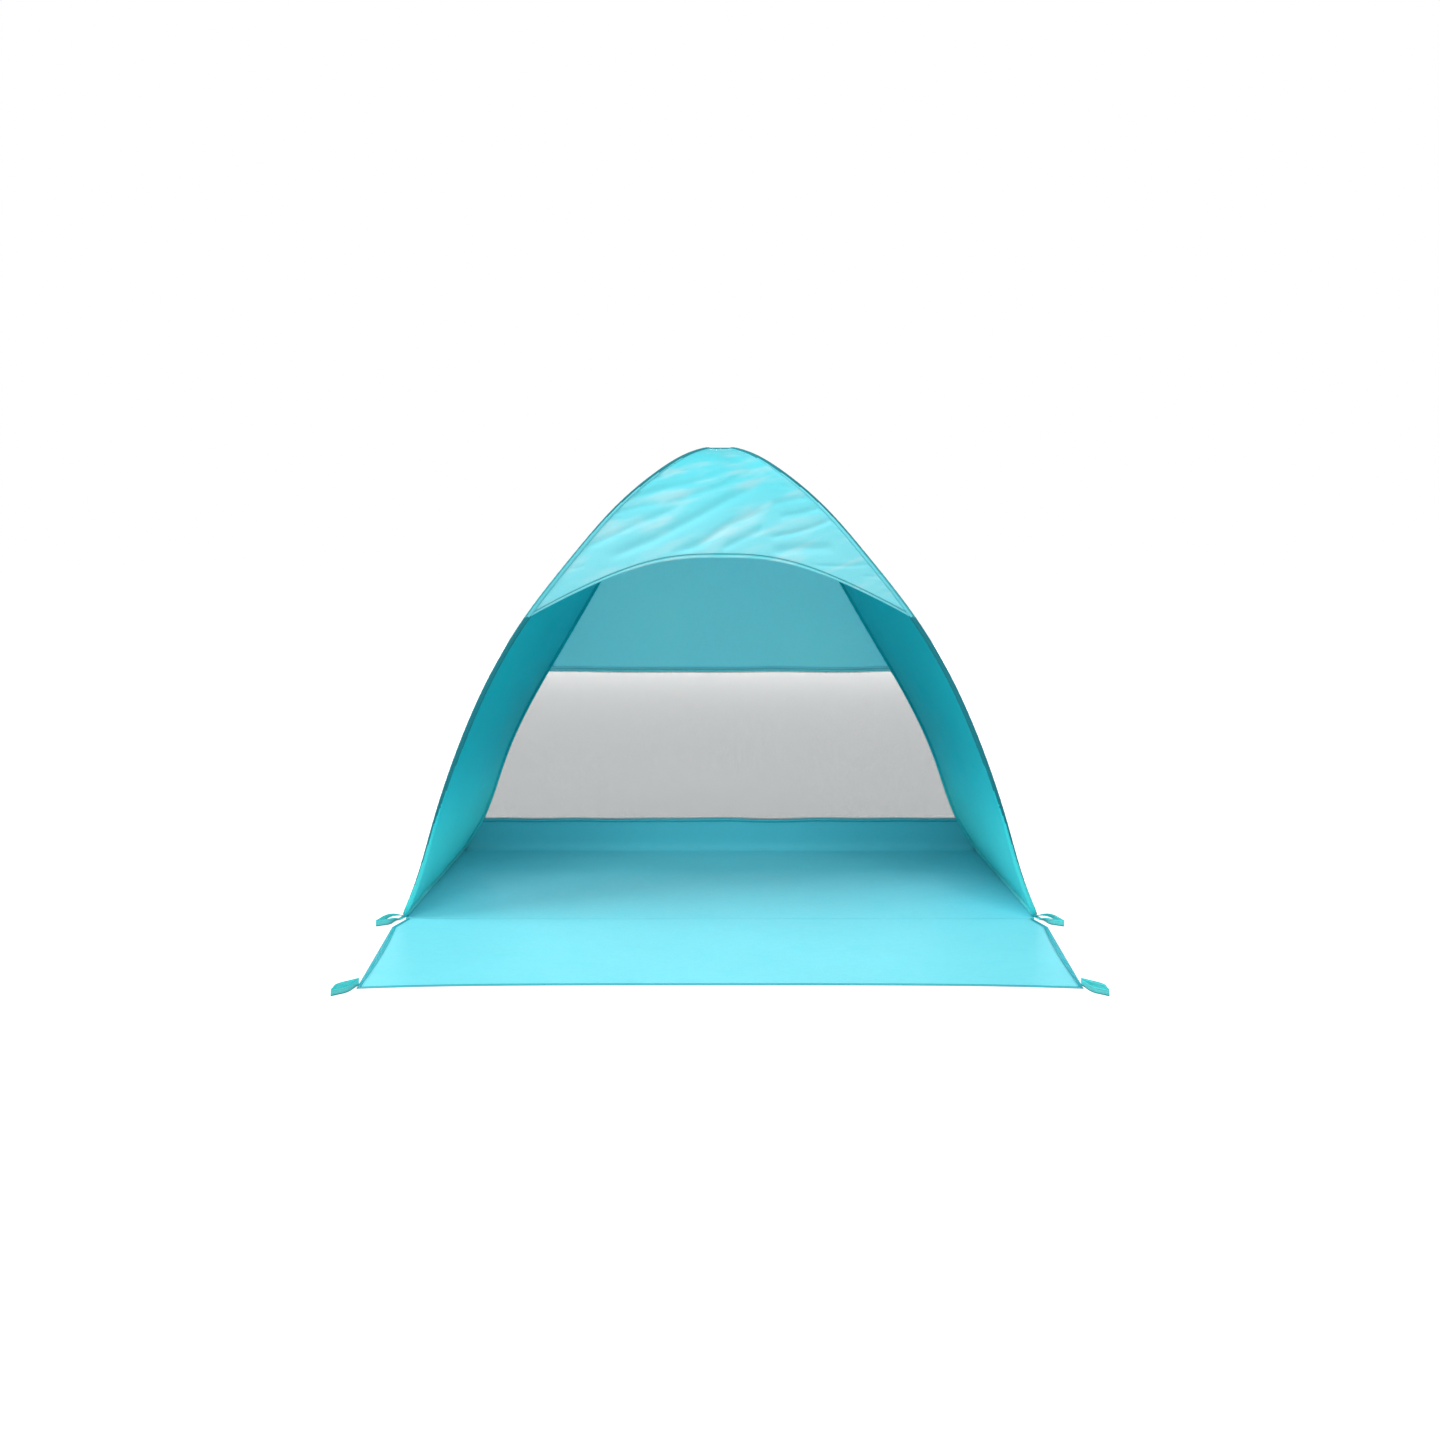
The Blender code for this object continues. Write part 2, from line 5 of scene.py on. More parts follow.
import bpy
import numpy as np
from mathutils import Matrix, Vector


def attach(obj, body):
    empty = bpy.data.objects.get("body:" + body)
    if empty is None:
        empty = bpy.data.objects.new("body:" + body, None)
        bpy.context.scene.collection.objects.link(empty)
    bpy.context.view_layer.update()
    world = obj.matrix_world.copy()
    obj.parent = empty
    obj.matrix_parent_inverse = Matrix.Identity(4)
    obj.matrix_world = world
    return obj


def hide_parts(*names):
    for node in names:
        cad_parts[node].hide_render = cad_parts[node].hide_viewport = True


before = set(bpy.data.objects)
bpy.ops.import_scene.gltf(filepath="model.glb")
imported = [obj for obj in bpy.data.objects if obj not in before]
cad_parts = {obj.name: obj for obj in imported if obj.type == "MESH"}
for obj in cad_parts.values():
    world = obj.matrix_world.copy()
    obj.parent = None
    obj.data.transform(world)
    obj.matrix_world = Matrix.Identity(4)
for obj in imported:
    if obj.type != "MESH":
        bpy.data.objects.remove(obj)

bl_info = {
    "name": "Beach tent",
    "version": (1, 0, 0),
    "blender": (4, 5, 0),
    "location": "3D View > Sidebar > Beach tent",
    "description": "Builds the cloth, net, tapes and peg loops of a beach tent",
    "category": "Add Mesh",
}

# Sizes in metres, the same as the frame's
FOOT_SPREAD = 1.53
REAR_SPREAD = 1.484
TENT_DEPTH = 0.88
PEAK_HEIGHT = 1.14
PEAK_SETBACK = 0.46
PEAK_SPREAD = 0.062
CORNER_BEND = 0.03
SLEEVE_RADIUS = 0.005
CLEARANCE = 0.0003
CLOTH = 0.001
BAND_WIDTH = 0.012
BAND_THICKNESS = 0.002
WALL_DISH = 0.02
CANOPY_DISH = 0.012

# The mat and the peg loops, the same as the frame's
MAT_LENGTH = 0.622
MAT_REAR_WIDTH = 1.508
MAT_SHOULDER_WIDTH = 1.552
MAT_SHOULDER_SETBACK = 0.09
MAT_FRONT_WIDTH = 1.506
MAT_CORNER_PULL = 0.028
MAT_SETBACK = 0.0068
WEBBING_WIDTH = 0.015
WEBBING_THICKNESS = 0.0016
LOOP_LENGTH = 0.095
EYE_WIDTH = 0.018
EYE_BULGE_SHARE = 0.62
LOOP_ROOT_RADIUS = 0.003
MAT_LOOP_SETBACK = 0.032
FOOT_LOOP_FLARE = math.radians(20)
MAT_LOOP_FLARE = math.radians(26)
REAR_LOOP_HEADING = math.radians(40)

# Points of the hoops: share of the height climbed, and of the half width at the ground
FRONT_RISER_SHARES = (
    (0.065, 0.960),
    (0.20, 0.899),
    (0.36, 0.819),
    (0.50, 0.729),
    (0.64, 0.606),
    (0.76, 0.469),
    (0.87, 0.329),
    (0.945, 0.201),
    (0.985, 0.106),
)
REAR_RISER_SHARES = (
    (0.07, 0.932),
    (0.23, 0.838),
    (0.37, 0.740),
    (0.54, 0.588),
    (0.69, 0.452),
    (0.82, 0.330),
    (0.92, 0.220),
    (0.98, 0.115),
)

# Powers of the hoops' profile, the visor's arch and the mat's front edge
PROFILE_POWER = 2.5
ARCH_POWER = 2.8
PULL_POWER = 4

# Points along a curve
SPLINE_STEPS = 40
CORNER_STEPS = 12
TURN_ROWS = 20

# Levels and places that follow from these sizes
GROUND_LEVEL = SLEEVE_RADIUS
TOP_LEVEL = PEAK_HEIGHT - SLEEVE_RADIUS
VISOR_END_HEIGHT = 0.635 * PEAK_HEIGHT
VISOR_MID_HEIGHT = 0.7614 * PEAK_HEIGHT
WINDOW_BOTTOM = 0.0772 * PEAK_HEIGHT
WINDOW_TOP = 0.464 * PEAK_HEIGHT
FOOT_Y = -TENT_DEPTH / 2
REAR_Y = TENT_DEPTH / 2
PEAK_Y = FOOT_Y + PEAK_SETBACK
HINGE_Y = FOOT_Y - MAT_SETBACK
EDGE_OFFSET = SLEEVE_RADIUS + CLEARANCE
CUFF = BAND_WIDTH / 2 + CLEARANCE
SIDES = ((-1, "left"), (1, "right"))

# Where a sleeve's finishes meet, round the hoop from the side of the tent's middle: its seam, whose
# wide dark
# # groove is painted shade along the outline, and the dark band over a front sleeve's top, partly
# binding and partly painted shade
SEAM_SHADE_TURN = math.radians(140)
BINDING_SHADE_START = math.radians(180)
BINDING_SHADE_TAPER = math.radians(168)
BINDING_SHADE_END = math.radians(215)

# How far outwards a front sleeve's face looks where its dark finish starts below the visor, and the
# change with height: painted shade along the outline
SHADE_EDGE_FOOT = 0.75
SHADE_EDGE_CHANGE = 1.8

# Details that the frame's solids don't have
TUCK = 0.006
BINDING_THICKNESS = 0.007
HEM_END_SHARE = 0.4
FOOT_LOOP_TWIST = 1.57
FOOT_LOOP_ASIDE = 0.0017
FOOT_LOOP_BEHIND = 0.0006
MAT_LOOP_TILT = 0.08

# How far the folds, puckers and long waves keep from a seam, in metres
FOLD_FADE = 0.02
PUCKER_FADE = 0.006
WAVE_FADE = 0.08

# Stitches, threads and net
GROOVE_WIDTH = 0.0022
STITCH_OFFSET = 0.005
STITCH_HALF = 0.0004
STITCH_PITCH = 0.0035
STITCH_SHARE = 0.7
THREAD_PITCH = 0.0006
WEBBING_PITCH = 0.0015
NET_PITCH = 0.0016
NET_BORDER = 0.004
NET_COVER = 0.37
# How much more the net covers at its foot than at its top, so that it is darker towards the bottom
NET_DENSER_LOW = 0.05

# Noise in the cloth: how fine it is, how far slubs are squeezed, and how far the painted sheen's pale
# lines along the visor's folds are drawn out
SLUB_SCALE = 60
SLUB_SQUEEZE = 1 / 12
CREASE_SCALE = 7.0
RUBBED_SCALE = 14
MOTTLE_SCALE = 3
PAINTED_SHEEN_SCALE = 24
PAINTED_SHEEN_STRETCH = 6
PAINTED_SHEEN_LEAN = math.radians(-24)
PAINTED_SHEEN_RANGE = (0.42, 0.75)

# Heights between which the walls' lining is painted lighter and paler towards the foot: painted light
# thrown up from the floor
PAINTED_LIGHT_TOP = 0.44
PAINTED_LIGHT_FOOT = 0.05

# How much an effect lightens the cloth, deepens its colour, and raises it in metres
LIGHTNESS = {"Height": 0.03, "Slubs": 0.06, "Mottle": 0.1, "Stitch": -0.1}
GROOVE_DEEPER = 0.2
RELIEF = {"Height": 0.0001, "Slubs": 0.0002, "Creases": 0.002, "Groove": -0.001, "Stitch": 0.0006}

# What sets each cloth finish apart
SHINY = {"roughness": 0.45, "gloss": 0.5, "groove": 0.25}
LINING = {"roughness": 0.7, "gloss": 0.03, "light": 1.0}
TRIM = {"gloss": 0.03, "groove": 0.1}
CLOTH_FINISHES = {
    "canopy": SHINY,
    # From mid height to the peak the visor's colour is painted stronger and darker: painted shade on
    # its top
    "visor": {**SHINY, "painted_sheen": 0.35, "rise": (VISOR_MID_HEIGHT, PEAK_HEIGHT, 0.2, -0.12)},
    # Inside faces are the canopy's own cloth: lining and wall painted darker as painted shade, back
    # and tape painted paler and lighter as painted light through the cloth
    "lining": LINING,
    "back": LINING,
    "tape": LINING,
    # The wall lining's rise is painted light: lighter, paler colour towards the foot
    "wall": {"roughness": 0.7, "light": 0.8, "rise": (PAINTED_LIGHT_TOP, PAINTED_LIGHT_FOOT, -0.12, 0.78)},
    "floor": {"gloss": 0.05},
    # The sleeve's wide dark groove round its seam is painted shade along its outline
    "sleeve": {"groove": 0.5, "groove_width": SLEEVE_RADIUS},
    "trim": TRIM,
    "hem": TRIM,
    "loop": {"roughness": 0.7, "pitch": WEBBING_PITCH},
}

# Stage, and the camera that was fitted to the photograph
FLOOR_REACH = 20
FLOOR_GREY = 0.4
FLOOR_GLOW = 0.88
CAMERA_PLACE = (0, -4.886, 1.010)
CAMERA_DIP = math.radians(6.76)
CAMERA_LENS = 46.875
CAMERA_SENSOR = 36

# Folds of the visor: places across, their heights, how deep and how wide
VISOR_FOLDS = (
    ((-0.17, -0.11, -0.07), (1.056, 1.075, 1.084), 0.0015, 0.005),
    ((-0.22, -0.15, -0.08, 0.0), (1.011, 1.030, 1.045, 1.068), 0.003, 0.008),
    ((-0.256, -0.198, -0.15), (0.974, 0.988, 0.995), 0.0015, 0.007),
    ((-0.13, -0.07, 0.0, 0.034, 0.085), (0.995, 1.017, 1.038, 1.056, 1.078), 0.0035, 0.010),
    ((-0.32, -0.25, -0.20, -0.14, -0.087), (0.893, 0.924, 0.948, 0.971, 0.996), 0.0025, 0.009),
    ((-0.26, -0.16, -0.07, 0.026, 0.10), (0.870, 0.911, 0.957, 1.009, 1.042), 0.0045, 0.012),
    ((-0.105, -0.046, 0.025, 0.10), (0.875, 0.900, 0.946, 0.975), 0.004, 0.011),
    ((0.01, 0.056, 0.105), (0.889, 0.911, 0.935), 0.003, 0.009),
    ((-0.375, -0.35, -0.33), (0.836, 0.84, 0.844), 0.001, 0.004),
    ((0.122, 0.155, 0.182), (1.045, 1.038, 1.037), 0.0015, 0.005),
    ((0.13, 0.175, 0.215), (0.995, 1.005, 1.011), 0.003, 0.008),
    ((0.149, 0.205, 0.245), (0.964, 0.974, 0.985), 0.003, 0.008),
    ((0.128, 0.173, 0.217, 0.271), (0.915, 0.923, 0.935, 0.955), 0.0035, 0.007),
    ((0.135, 0.20, 0.271), (0.880, 0.888, 0.888), 0.004, 0.012),
    ((0.232, 0.30, 0.362), (0.846, 0.844, 0.848), 0.0015, 0.004),
    ((0.35, 0.37, 0.385), (0.818, 0.820, 0.823), 0.001, 0.004),
)


def natural_spline(points):
    """A bent wire's curve: cubic pieces that join smoothly and end without bending."""
    points = np.asarray(points, float)
    gaps = np.diff(length_along(points))[:, None]
    system = np.eye(len(points))
    bend = np.zeros_like(points)
    for i in range(1, len(points) - 1):
        before, after = gaps[i - 1, 0], gaps[i, 0]
        system[i, i - 1 : i + 2] = before, 2 * (before + after), after
        rise = (points[i + 1] - points[i]) / after - (points[i] - points[i - 1]) / before
        bend[i] = 6 * rise
    bend = np.linalg.solve(system, bend)
    run = np.linspace(0, 1, SPLINE_STEPS, endpoint=False)[None, :, None]
    rest = 1 - run
    square = (gaps**2 / 6)[:, None]
    curve = (
        rest * points[:-1, None]
        + run * points[1:, None]
        + square * ((rest**3 - rest) * bend[:-1, None] + (run**3 - run) * bend[1:, None])
    )
    return np.vstack([curve.reshape(-1, 3), points[-1:]])


def length_along(points):
    """The length from a polyline's start to each of its points."""
    steps = np.linalg.norm(np.diff(points, axis=0), axis=1)
    return np.concatenate([[0], np.cumsum(steps)])


def sample(points, at):
    """Points of a polyline at the given lengths along it."""
    along = length_along(points)
    return np.stack([np.interp(at, along, points[:, k]) for k in range(3)], axis=-1)


def unit(vectors):
    """Vectors brought to a length of 1."""
    return vectors / np.maximum(np.linalg.norm(vectors, axis=-1, keepdims=True), 1e-12)


def tangents(points):
    """Ways along a polyline: the mean of the steps before and after each point."""
    steps = unit(np.diff(points, axis=0))
    return unit(np.vstack([steps[:1], steps[:-1] + steps[1:], steps[-1:]]))


def beside(points, aim):
    """The line beside a hoop, at the sleeve's radius, on the side of aim."""
    along = tangents(points)
    across = aim - np.sum(aim * along, axis=1, keepdims=True) * along
    return points + EDGE_OFFSET * unit(across)


def riser_point(climbed, width, half_spread, foot_y):
    """A point of a hoop, whose reach from the peak is a root of 1 - climbed squared."""
    reach = (1 - climbed**2) ** (1 / PROFILE_POWER)
    height = GROUND_LEVEL + climbed * (TOP_LEVEL - GROUND_LEVEL)
    return width * half_spread, PEAK_Y + (foot_y - PEAK_Y) * reach, height


def riser(curve, other_corner):
    """A hoop's line from the ground run, round the corner (a parabola) and up to the peak."""
    corner = curve[0]
    top = curve[curve[:, 2] > GROUND_LEVEL + CORNER_BEND]
    start = sample(curve, np.interp(GROUND_LEVEL + CORNER_BEND, curve[:, 2], length_along(curve)))
    run = unit(other_corner - corner)
    t = np.linspace(0, 1, CORNER_STEPS + 1)[:, None]
    bend = (1 - t) ** 2 * (corner + CORNER_BEND * run) + 2 * t * (1 - t) * corner + t**2 * start
    return np.vstack([corner + (CORNER_BEND + CUFF) * run, bend, top])


def hoop_risers():
    """The front and rear risers of the right hoop, both from the ground to the peak."""
    front = [riser_point(h, w, FOOT_SPREAD / 2, FOOT_Y) for h, w in FRONT_RISER_SHARES]
    rear = [riser_point(h, w, REAR_SPREAD / 2, REAR_Y) for h, w in REAR_RISER_SHARES]
    foot = (FOOT_SPREAD / 2, FOOT_Y, GROUND_LEVEL)
    corner = (REAR_SPREAD / 2, REAR_Y, GROUND_LEVEL)
    peak = (PEAK_SPREAD / 2, PEAK_Y, TOP_LEVEL)
    curve = natural_spline([foot, *front, peak, *rear[::-1], corner])
    middle = SPLINE_STEPS * (len(front) + 1)
    return riser(curve[: middle + 1], curve[-1]), riser(curve[: middle - 1 : -1], curve[0])


FRONT_RISER, REAR_RISER = hoop_risers()


def mark(line, height):
    """The length along a riser at which it reaches a height."""
    climbing = line[:, 2] < TOP_LEVEL - CUFF
    return np.interp(height, line[climbing, 2], length_along(line)[climbing])


def span_point(edge, along, u, dish, facing=1):
    """A panel between an edge and its mirror image, drawn in by dish * sin * (1 - u squared).

    Facing is 1 for a front panel and -1 for a rear one, whose inner side looks forward.
    """
    marks = length_along(edge)
    along, u = np.broadcast_arrays(along, u)
    points = sample(edge, along)
    ahead = tangents(edge)
    slope = np.stack([np.interp(along, marks, ahead[:, k]) for k in range(3)], axis=-1)
    across = np.stack([np.zeros_like(u), slope[..., 2], -slope[..., 1]], axis=-1)
    inward = facing * unit(across)
    points[..., 0] *= u
    climbed = along / marks[-1]
    points += (dish * np.sin(math.pi * climbed) * (1 - u**2))[..., None] * inward
    return points, inward


def linear(value):
    """A screen level from 0 to 255 as a share of light."""
    share = value / 255
    return share / 12.92 if share <= 0.04045 else ((share + 0.055) / 1.055) ** 2.4


def cloth_lengths(points):
    """Lengths along the cloth at each point of a grid: across from one side, and down."""
    across = np.linalg.norm(np.diff(points, axis=1), axis=2)
    down = np.linalg.norm(np.diff(points, axis=0), axis=2)
    u = np.pad(np.cumsum(across, axis=1), ((0, 0), (1, 0)))
    v = np.pad(np.cumsum(down, axis=0), ((1, 0), (0, 0)))
    return u, v


def edge_distance(points):
    """Each point's distance to the nearest edge of an open sheet, along the cloth."""
    u, v = cloth_lengths(points)
    return np.minimum(np.minimum(u, u[:, -1:] - u), np.minimum(v, v[-1:] - v))


def side_distance(points):
    """Each point's distance to the nearest side edge of an open sheet."""
    u, _ = cloth_lengths(points)
    return np.minimum(u, u[:, -1:] - u)


def set_edge(obj, distance):
    """Stores each point's distance to the nearest seam, which the seam shader reads."""
    near = obj.data.attributes["edge"]
    near.data.foreach_set("value", distance.astype(np.float32).ravel())


def ripple(along, pitch, start=0.0):
    """An uneven wave between -1 and 1: three sines whose pitches don't share a multiple."""
    turn = 2 * math.pi * along / pitch + start
    return (np.sin(turn) + np.sin(0.618 * turn + 1.3) + np.sin(1.414 * turn + 4.1)) / 3


def grid_mesh(name, points, finishes, ring=False, looped=False):
    """A grid surface as an object. Its UV map holds lengths in metres across and down.

    With ring the last column joins the first, with looped the last row joins the first, and
    rings that aren't looped are closed by a face at both ends.
    """
    rows, cols = points.shape[:2]
    more = ((0, int(looped)), (0, int(ring)))
    index = np.pad(np.arange(rows * cols).reshape(rows, cols), more, mode="wrap")
    shape = np.pad(points, (*more, (0, 0)), mode="wrap")

    def corners(values):
        quads = (values[:-1, :-1], values[:-1, 1:], values[1:, 1:], values[1:, :-1])
        return np.stack(quads, axis=2)

    faces = corners(index).reshape(-1, 4).tolist()
    uv = corners(np.stack(cloth_lengths(shape), axis=-1)).reshape(-1, 2)
    if ring and not looped:
        faces += [index[0, :cols][::-1].tolist(), index[-1, :cols].tolist()]
        uv = np.concatenate([uv, np.zeros((2 * cols, 2))])
    mesh = bpy.data.meshes.new(name)
    mesh.from_pydata(points.reshape(-1, 3).tolist(), [], faces)
    mesh.uv_layers.new(name="UVMap").data.foreach_set("uv", uv.astype(np.float32).ravel())
    mesh.attributes.new("edge", "FLOAT", "POINT")
    mesh.shade_smooth()
    for finish in finishes:
        mesh.materials.append(material(finish))
    obj = bpy.data.objects.new(name, mesh)
    set_edge(obj, np.ones(rows * cols) if ring else edge_distance(points))
    bpy.context.scene.collection.objects.link(obj)
    return obj


def cloth(name, points, outside, inside, thickness=CLOTH):
    """A sheet with real thickness: its outer face keeps the points' normals."""
    obj = grid_mesh(name, points, [outside, inside])
    solid = obj.modifiers.new("thickness", "SOLIDIFY")
    solid.thickness = thickness
    solid.offset = 0
    solid.material_offset = 1
    return obj


def strip_rings(start, end, normal, thickness, share, stitch_at):
    """Rings of a flat band between two lines, at shares across it.

    Half its thickness falls off as 1 - (2 share - 1) to the sixth, so that its edges are
    rounded, and dips as a bell curve at each line of stitches.
    """
    swell = thickness / 2 * (1 - (2 * share - 1) ** 6) + thickness * 0.04
    for at in stitch_at:
        swell *= 1 - 0.4 * np.exp(-(((share - at) / 0.07) ** 2))
    middle = start[:, None] + share[None, :, None] * (end - start)[:, None]
    lift = swell[None, :, None] * normal[:, None]
    return np.concatenate([middle + lift, (middle - lift)[:, ::-1]], axis=1)


def smooth_step(x):
    """From 0 to 1 as x does, with level ends: three x squared less two x cubed."""
    x = np.clip(x, 0, 1)
    return x * x * (3 - 2 * x)


def band(name, start, end, normal, thickness, stitch_at, face, back):
    """A flat band as an object: the face finish on the normal's side, back on the other."""
    if np.dot(np.cross(end[0] - start[0], start[1] - start[0]), normal[0]) < 0:
        start, end, normal = start[::-1], end[::-1], normal[::-1]
    share = (1 - np.cos(np.linspace(0, math.pi, 12))) / 2
    rings = strip_rings(start, end, normal, thickness, share, stitch_at)
    obj = grid_mesh(name, rings, [face, back], ring=True)
    gap = np.min([np.abs(share - at) for at in stitch_at], axis=0)
    width = np.linalg.norm(end - start, axis=1)[:, None]
    set_edge(obj, np.concatenate([gap, gap[::-1]]) * width)
    column = np.tile(np.arange(2 * len(share)), len(rings) - 1)
    behind = (column >= len(share) - 1) & (column < 2 * len(share) - 1)
    index = np.concatenate([behind, [False, False]])
    obj.data.polygons.foreach_set("material_index", index.astype(np.int32))
    return obj


def fold(x, z, line_x, line_z, width):
    """A valley along a line through three or more points: a bell curve of its height above it."""
    off = z - np.interp(x, line_x, line_z)
    slope = (line_z[-1] - line_z[0]) / (line_x[-1] - line_x[0])
    off *= math.cos(math.atan(slope))
    reach = 0.25 * (line_x[-1] - line_x[0])
    fade = smooth_step((x - line_x[0]) / reach + 0.5) * smooth_step((line_x[-1] - x) / reach + 0.5)
    return fade * np.exp(-((off / width) ** 2))


def node_group(name, inputs, outputs):
    """A shader node group with named sockets, its input node and its output node."""
    group = bpy.data.node_groups.new(name, "ShaderNodeTree")
    for label, value in inputs:
        socket = group.interface.new_socket(label, in_out="INPUT", socket_type="NodeSocketFloat")
        socket.default_value = value
    for label in outputs:
        group.interface.new_socket(label, in_out="OUTPUT", socket_type="NodeSocketFloat")
    return group, group.nodes.new("NodeGroupInput"), group.nodes.new("NodeGroupOutput")


def feed(node, values):
    """Gives a node's inputs, by name or place, their numbers or the sockets that feed them."""
    for key, value in values.items():
        if isinstance(value, bpy.types.NodeSocket):
            node.id_data.links.new(value, node.inputs[key])
        else:
            node.inputs[key].default_value = value
    return node


def calculate(tree, operation, first, second=0.0):
    """A math node on two values, each a number or a socket."""
    node = feed(tree.nodes.new("ShaderNodeMath"), {0: first, 1: second})
    node.operation = operation
    return node.outputs[0]


def between(tree, value, low, high):
    """How far a value has come from low to high, clamped to 0 and 1."""
    node = tree.nodes.new("ShaderNodeMapRange")
    node.interpolation_type = "SMOOTHSTEP"
    feed(node, {"Value": value, "From Min": low, "From Max": high})
    return node.outputs["Result"]


def object_place(tree):
    """The point in the object's own space."""
    return tree.nodes.new("ShaderNodeTexCoord").outputs["Object"]


def noise(tree, scale, detail, stretch=(1, 1, 1), lean=0.0):
    """Noise in the object's own space, drawn out along axes that lean about y."""
    mapping = tree.nodes.new("ShaderNodeMapping")
    mapping.vector_type = "TEXTURE"
    feed(mapping, {"Vector": object_place(tree), "Rotation": (0, lean, 0), "Scale": stretch})
    texture = tree.nodes.new("ShaderNodeTexNoise")
    feed(texture, {"Vector": mapping.outputs["Vector"], "Scale": scale, "Detail": detail})
    return texture.outputs["Fac"]


def height_share(tree, low, high):
    """How far up the tent a point is, from 0 at the first level to 1 at the second."""
    parts = feed(tree.nodes.new("ShaderNodeSeparateXYZ"), {"Vector": object_place(tree)})
    return between(tree, parts.outputs["Z"], low, high)


def cloth_axes(tree):
    """The UV map's two lengths, in metres."""
    uv = tree.nodes.new("ShaderNodeUVMap")
    uv.uv_map = "UVMap"
    parts = feed(tree.nodes.new("ShaderNodeSeparateXYZ"), {"Vector": uv.outputs["UV"]})
    return parts.outputs["X"], parts.outputs["Y"]


def weave_group():
    """Plain weave: threads both ways, with slubs where a thread is thicker."""
    inputs = [("Thread Pitch", THREAD_PITCH)]
    group, enter, leave = node_group("Plain weave", inputs, ["Height", "Slubs"])
    waves = []
    for axis in cloth_axes(group):
        turns = calculate(group, "DIVIDE", axis, enter.outputs["Thread Pitch"])
        waves.append(calculate(group, "SINE", calculate(group, "MULTIPLY", turns, 2 * math.pi)))
    across = noise(group, SLUB_SCALE, 2, (SLUB_SQUEEZE, 1, 1))
    along = noise(group, SLUB_SCALE, 2, (1, 1, SLUB_SQUEEZE))
    slubs = calculate(group, "SUBTRACT", calculate(group, "ADD", across, along), 1.0)
    feed(leave, {"Height": calculate(group, "MULTIPLY", *waves), "Slubs": slubs})
    return group


def seam_group():
    """Near a seam: the groove that holds it, and a row of stitches beside it."""
    inputs = [("Groove Width", GROOVE_WIDTH), ("Stitch Offset", STITCH_OFFSET)]
    group, enter, leave = node_group("Seam", inputs, ["Groove", "Stitch"])
    near = group.nodes.new("ShaderNodeAttribute")
    near.attribute_name = "edge"
    share = calculate(group, "DIVIDE", near.outputs["Fac"], enter.outputs["Groove Width"])
    groove = calculate(group, "SUBTRACT", 1.0, between(group, share, 0.4, 1.3))
    away = calculate(group, "SUBTRACT", near.outputs["Fac"], enter.outputs["Stitch Offset"])
    row = calculate(group, "LESS_THAN", calculate(group, "ABSOLUTE", away), STITCH_HALF)
    across, along = cloth_axes(group)
    turns = calculate(group, "DIVIDE", calculate(group, "ADD", across, along), STITCH_PITCH)
    dash = calculate(group, "LESS_THAN", calculate(group, "FRACT", turns), STITCH_SHARE)
    feed(leave, {"Groove": groove, "Stitch": calculate(group, "MULTIPLY", row, dash)})
    return group


def wear_group():
    """Handling: soft creases from packing, dust and rubbed patches."""
    inputs = [("Crease Scale", CREASE_SCALE)]
    group, enter, leave = node_group("Handling", inputs, ["Creases", "Rubbed", "Mottle"])
    creases = noise(group, CREASE_SCALE, 3)
    feed(creases.node, {"Distortion": 0.6, "Scale": enter.outputs["Crease Scale"]})
    rubbed = between(group, noise(group, RUBBED_SCALE, 6), 0.5, 0.75)
    mottle = calculate(group, "SUBTRACT", noise(group, MOTTLE_SCALE, 3), 0.5)
    feed(leave, {"Creases": creases, "Rubbed": rubbed, "Mottle": mottle})
    return group


GROUPS = {"Plain weave": weave_group, "Seam": seam_group, "Handling": wear_group}


def use_group(tree, name):
    """A node of a shared group, which is made the first time."""
    node = tree.nodes.new("ShaderNodeGroup")
    node.node_tree = bpy.data.node_groups.get(name) or GROUPS[name]()
    return node


def cloth_effects(tree, pitch, groove_width):
    """What the shared groups put out for one cloth, by its name."""
    weave, seam, wear = (use_group(tree, name) for name in GROUPS)
    feed(weave, {"Thread Pitch": pitch})
    feed(seam, {"Groove Width": groove_width})
    return {effect.name: effect for node in (weave, seam, wear) for effect in node.outputs}


def new_material(name):
    """A material with its node tree and its shader."""
    made = bpy.data.materials.new(name)
    made.use_nodes = True
    return made, made.node_tree, made.node_tree.nodes["Principled BSDF"]


def tinted(tree, colour, value, strength=1.0):
    """A colour made lighter or darker, and stronger or paler, by values round 1."""
    node = tree.nodes.new("ShaderNodeHueSaturation")
    feed(node, {"Color": (*colour, 1), "Value": value, "Saturation": strength})
    return node.outputs["Color"]


def total(tree, effects, weights, start=1.0):
    """The start value plus each effect times its weight."""
    for key, weight in weights.items():
        start = calculate(tree, "ADD", calculate(tree, "MULTIPLY", effects[key], weight), start)
    return start


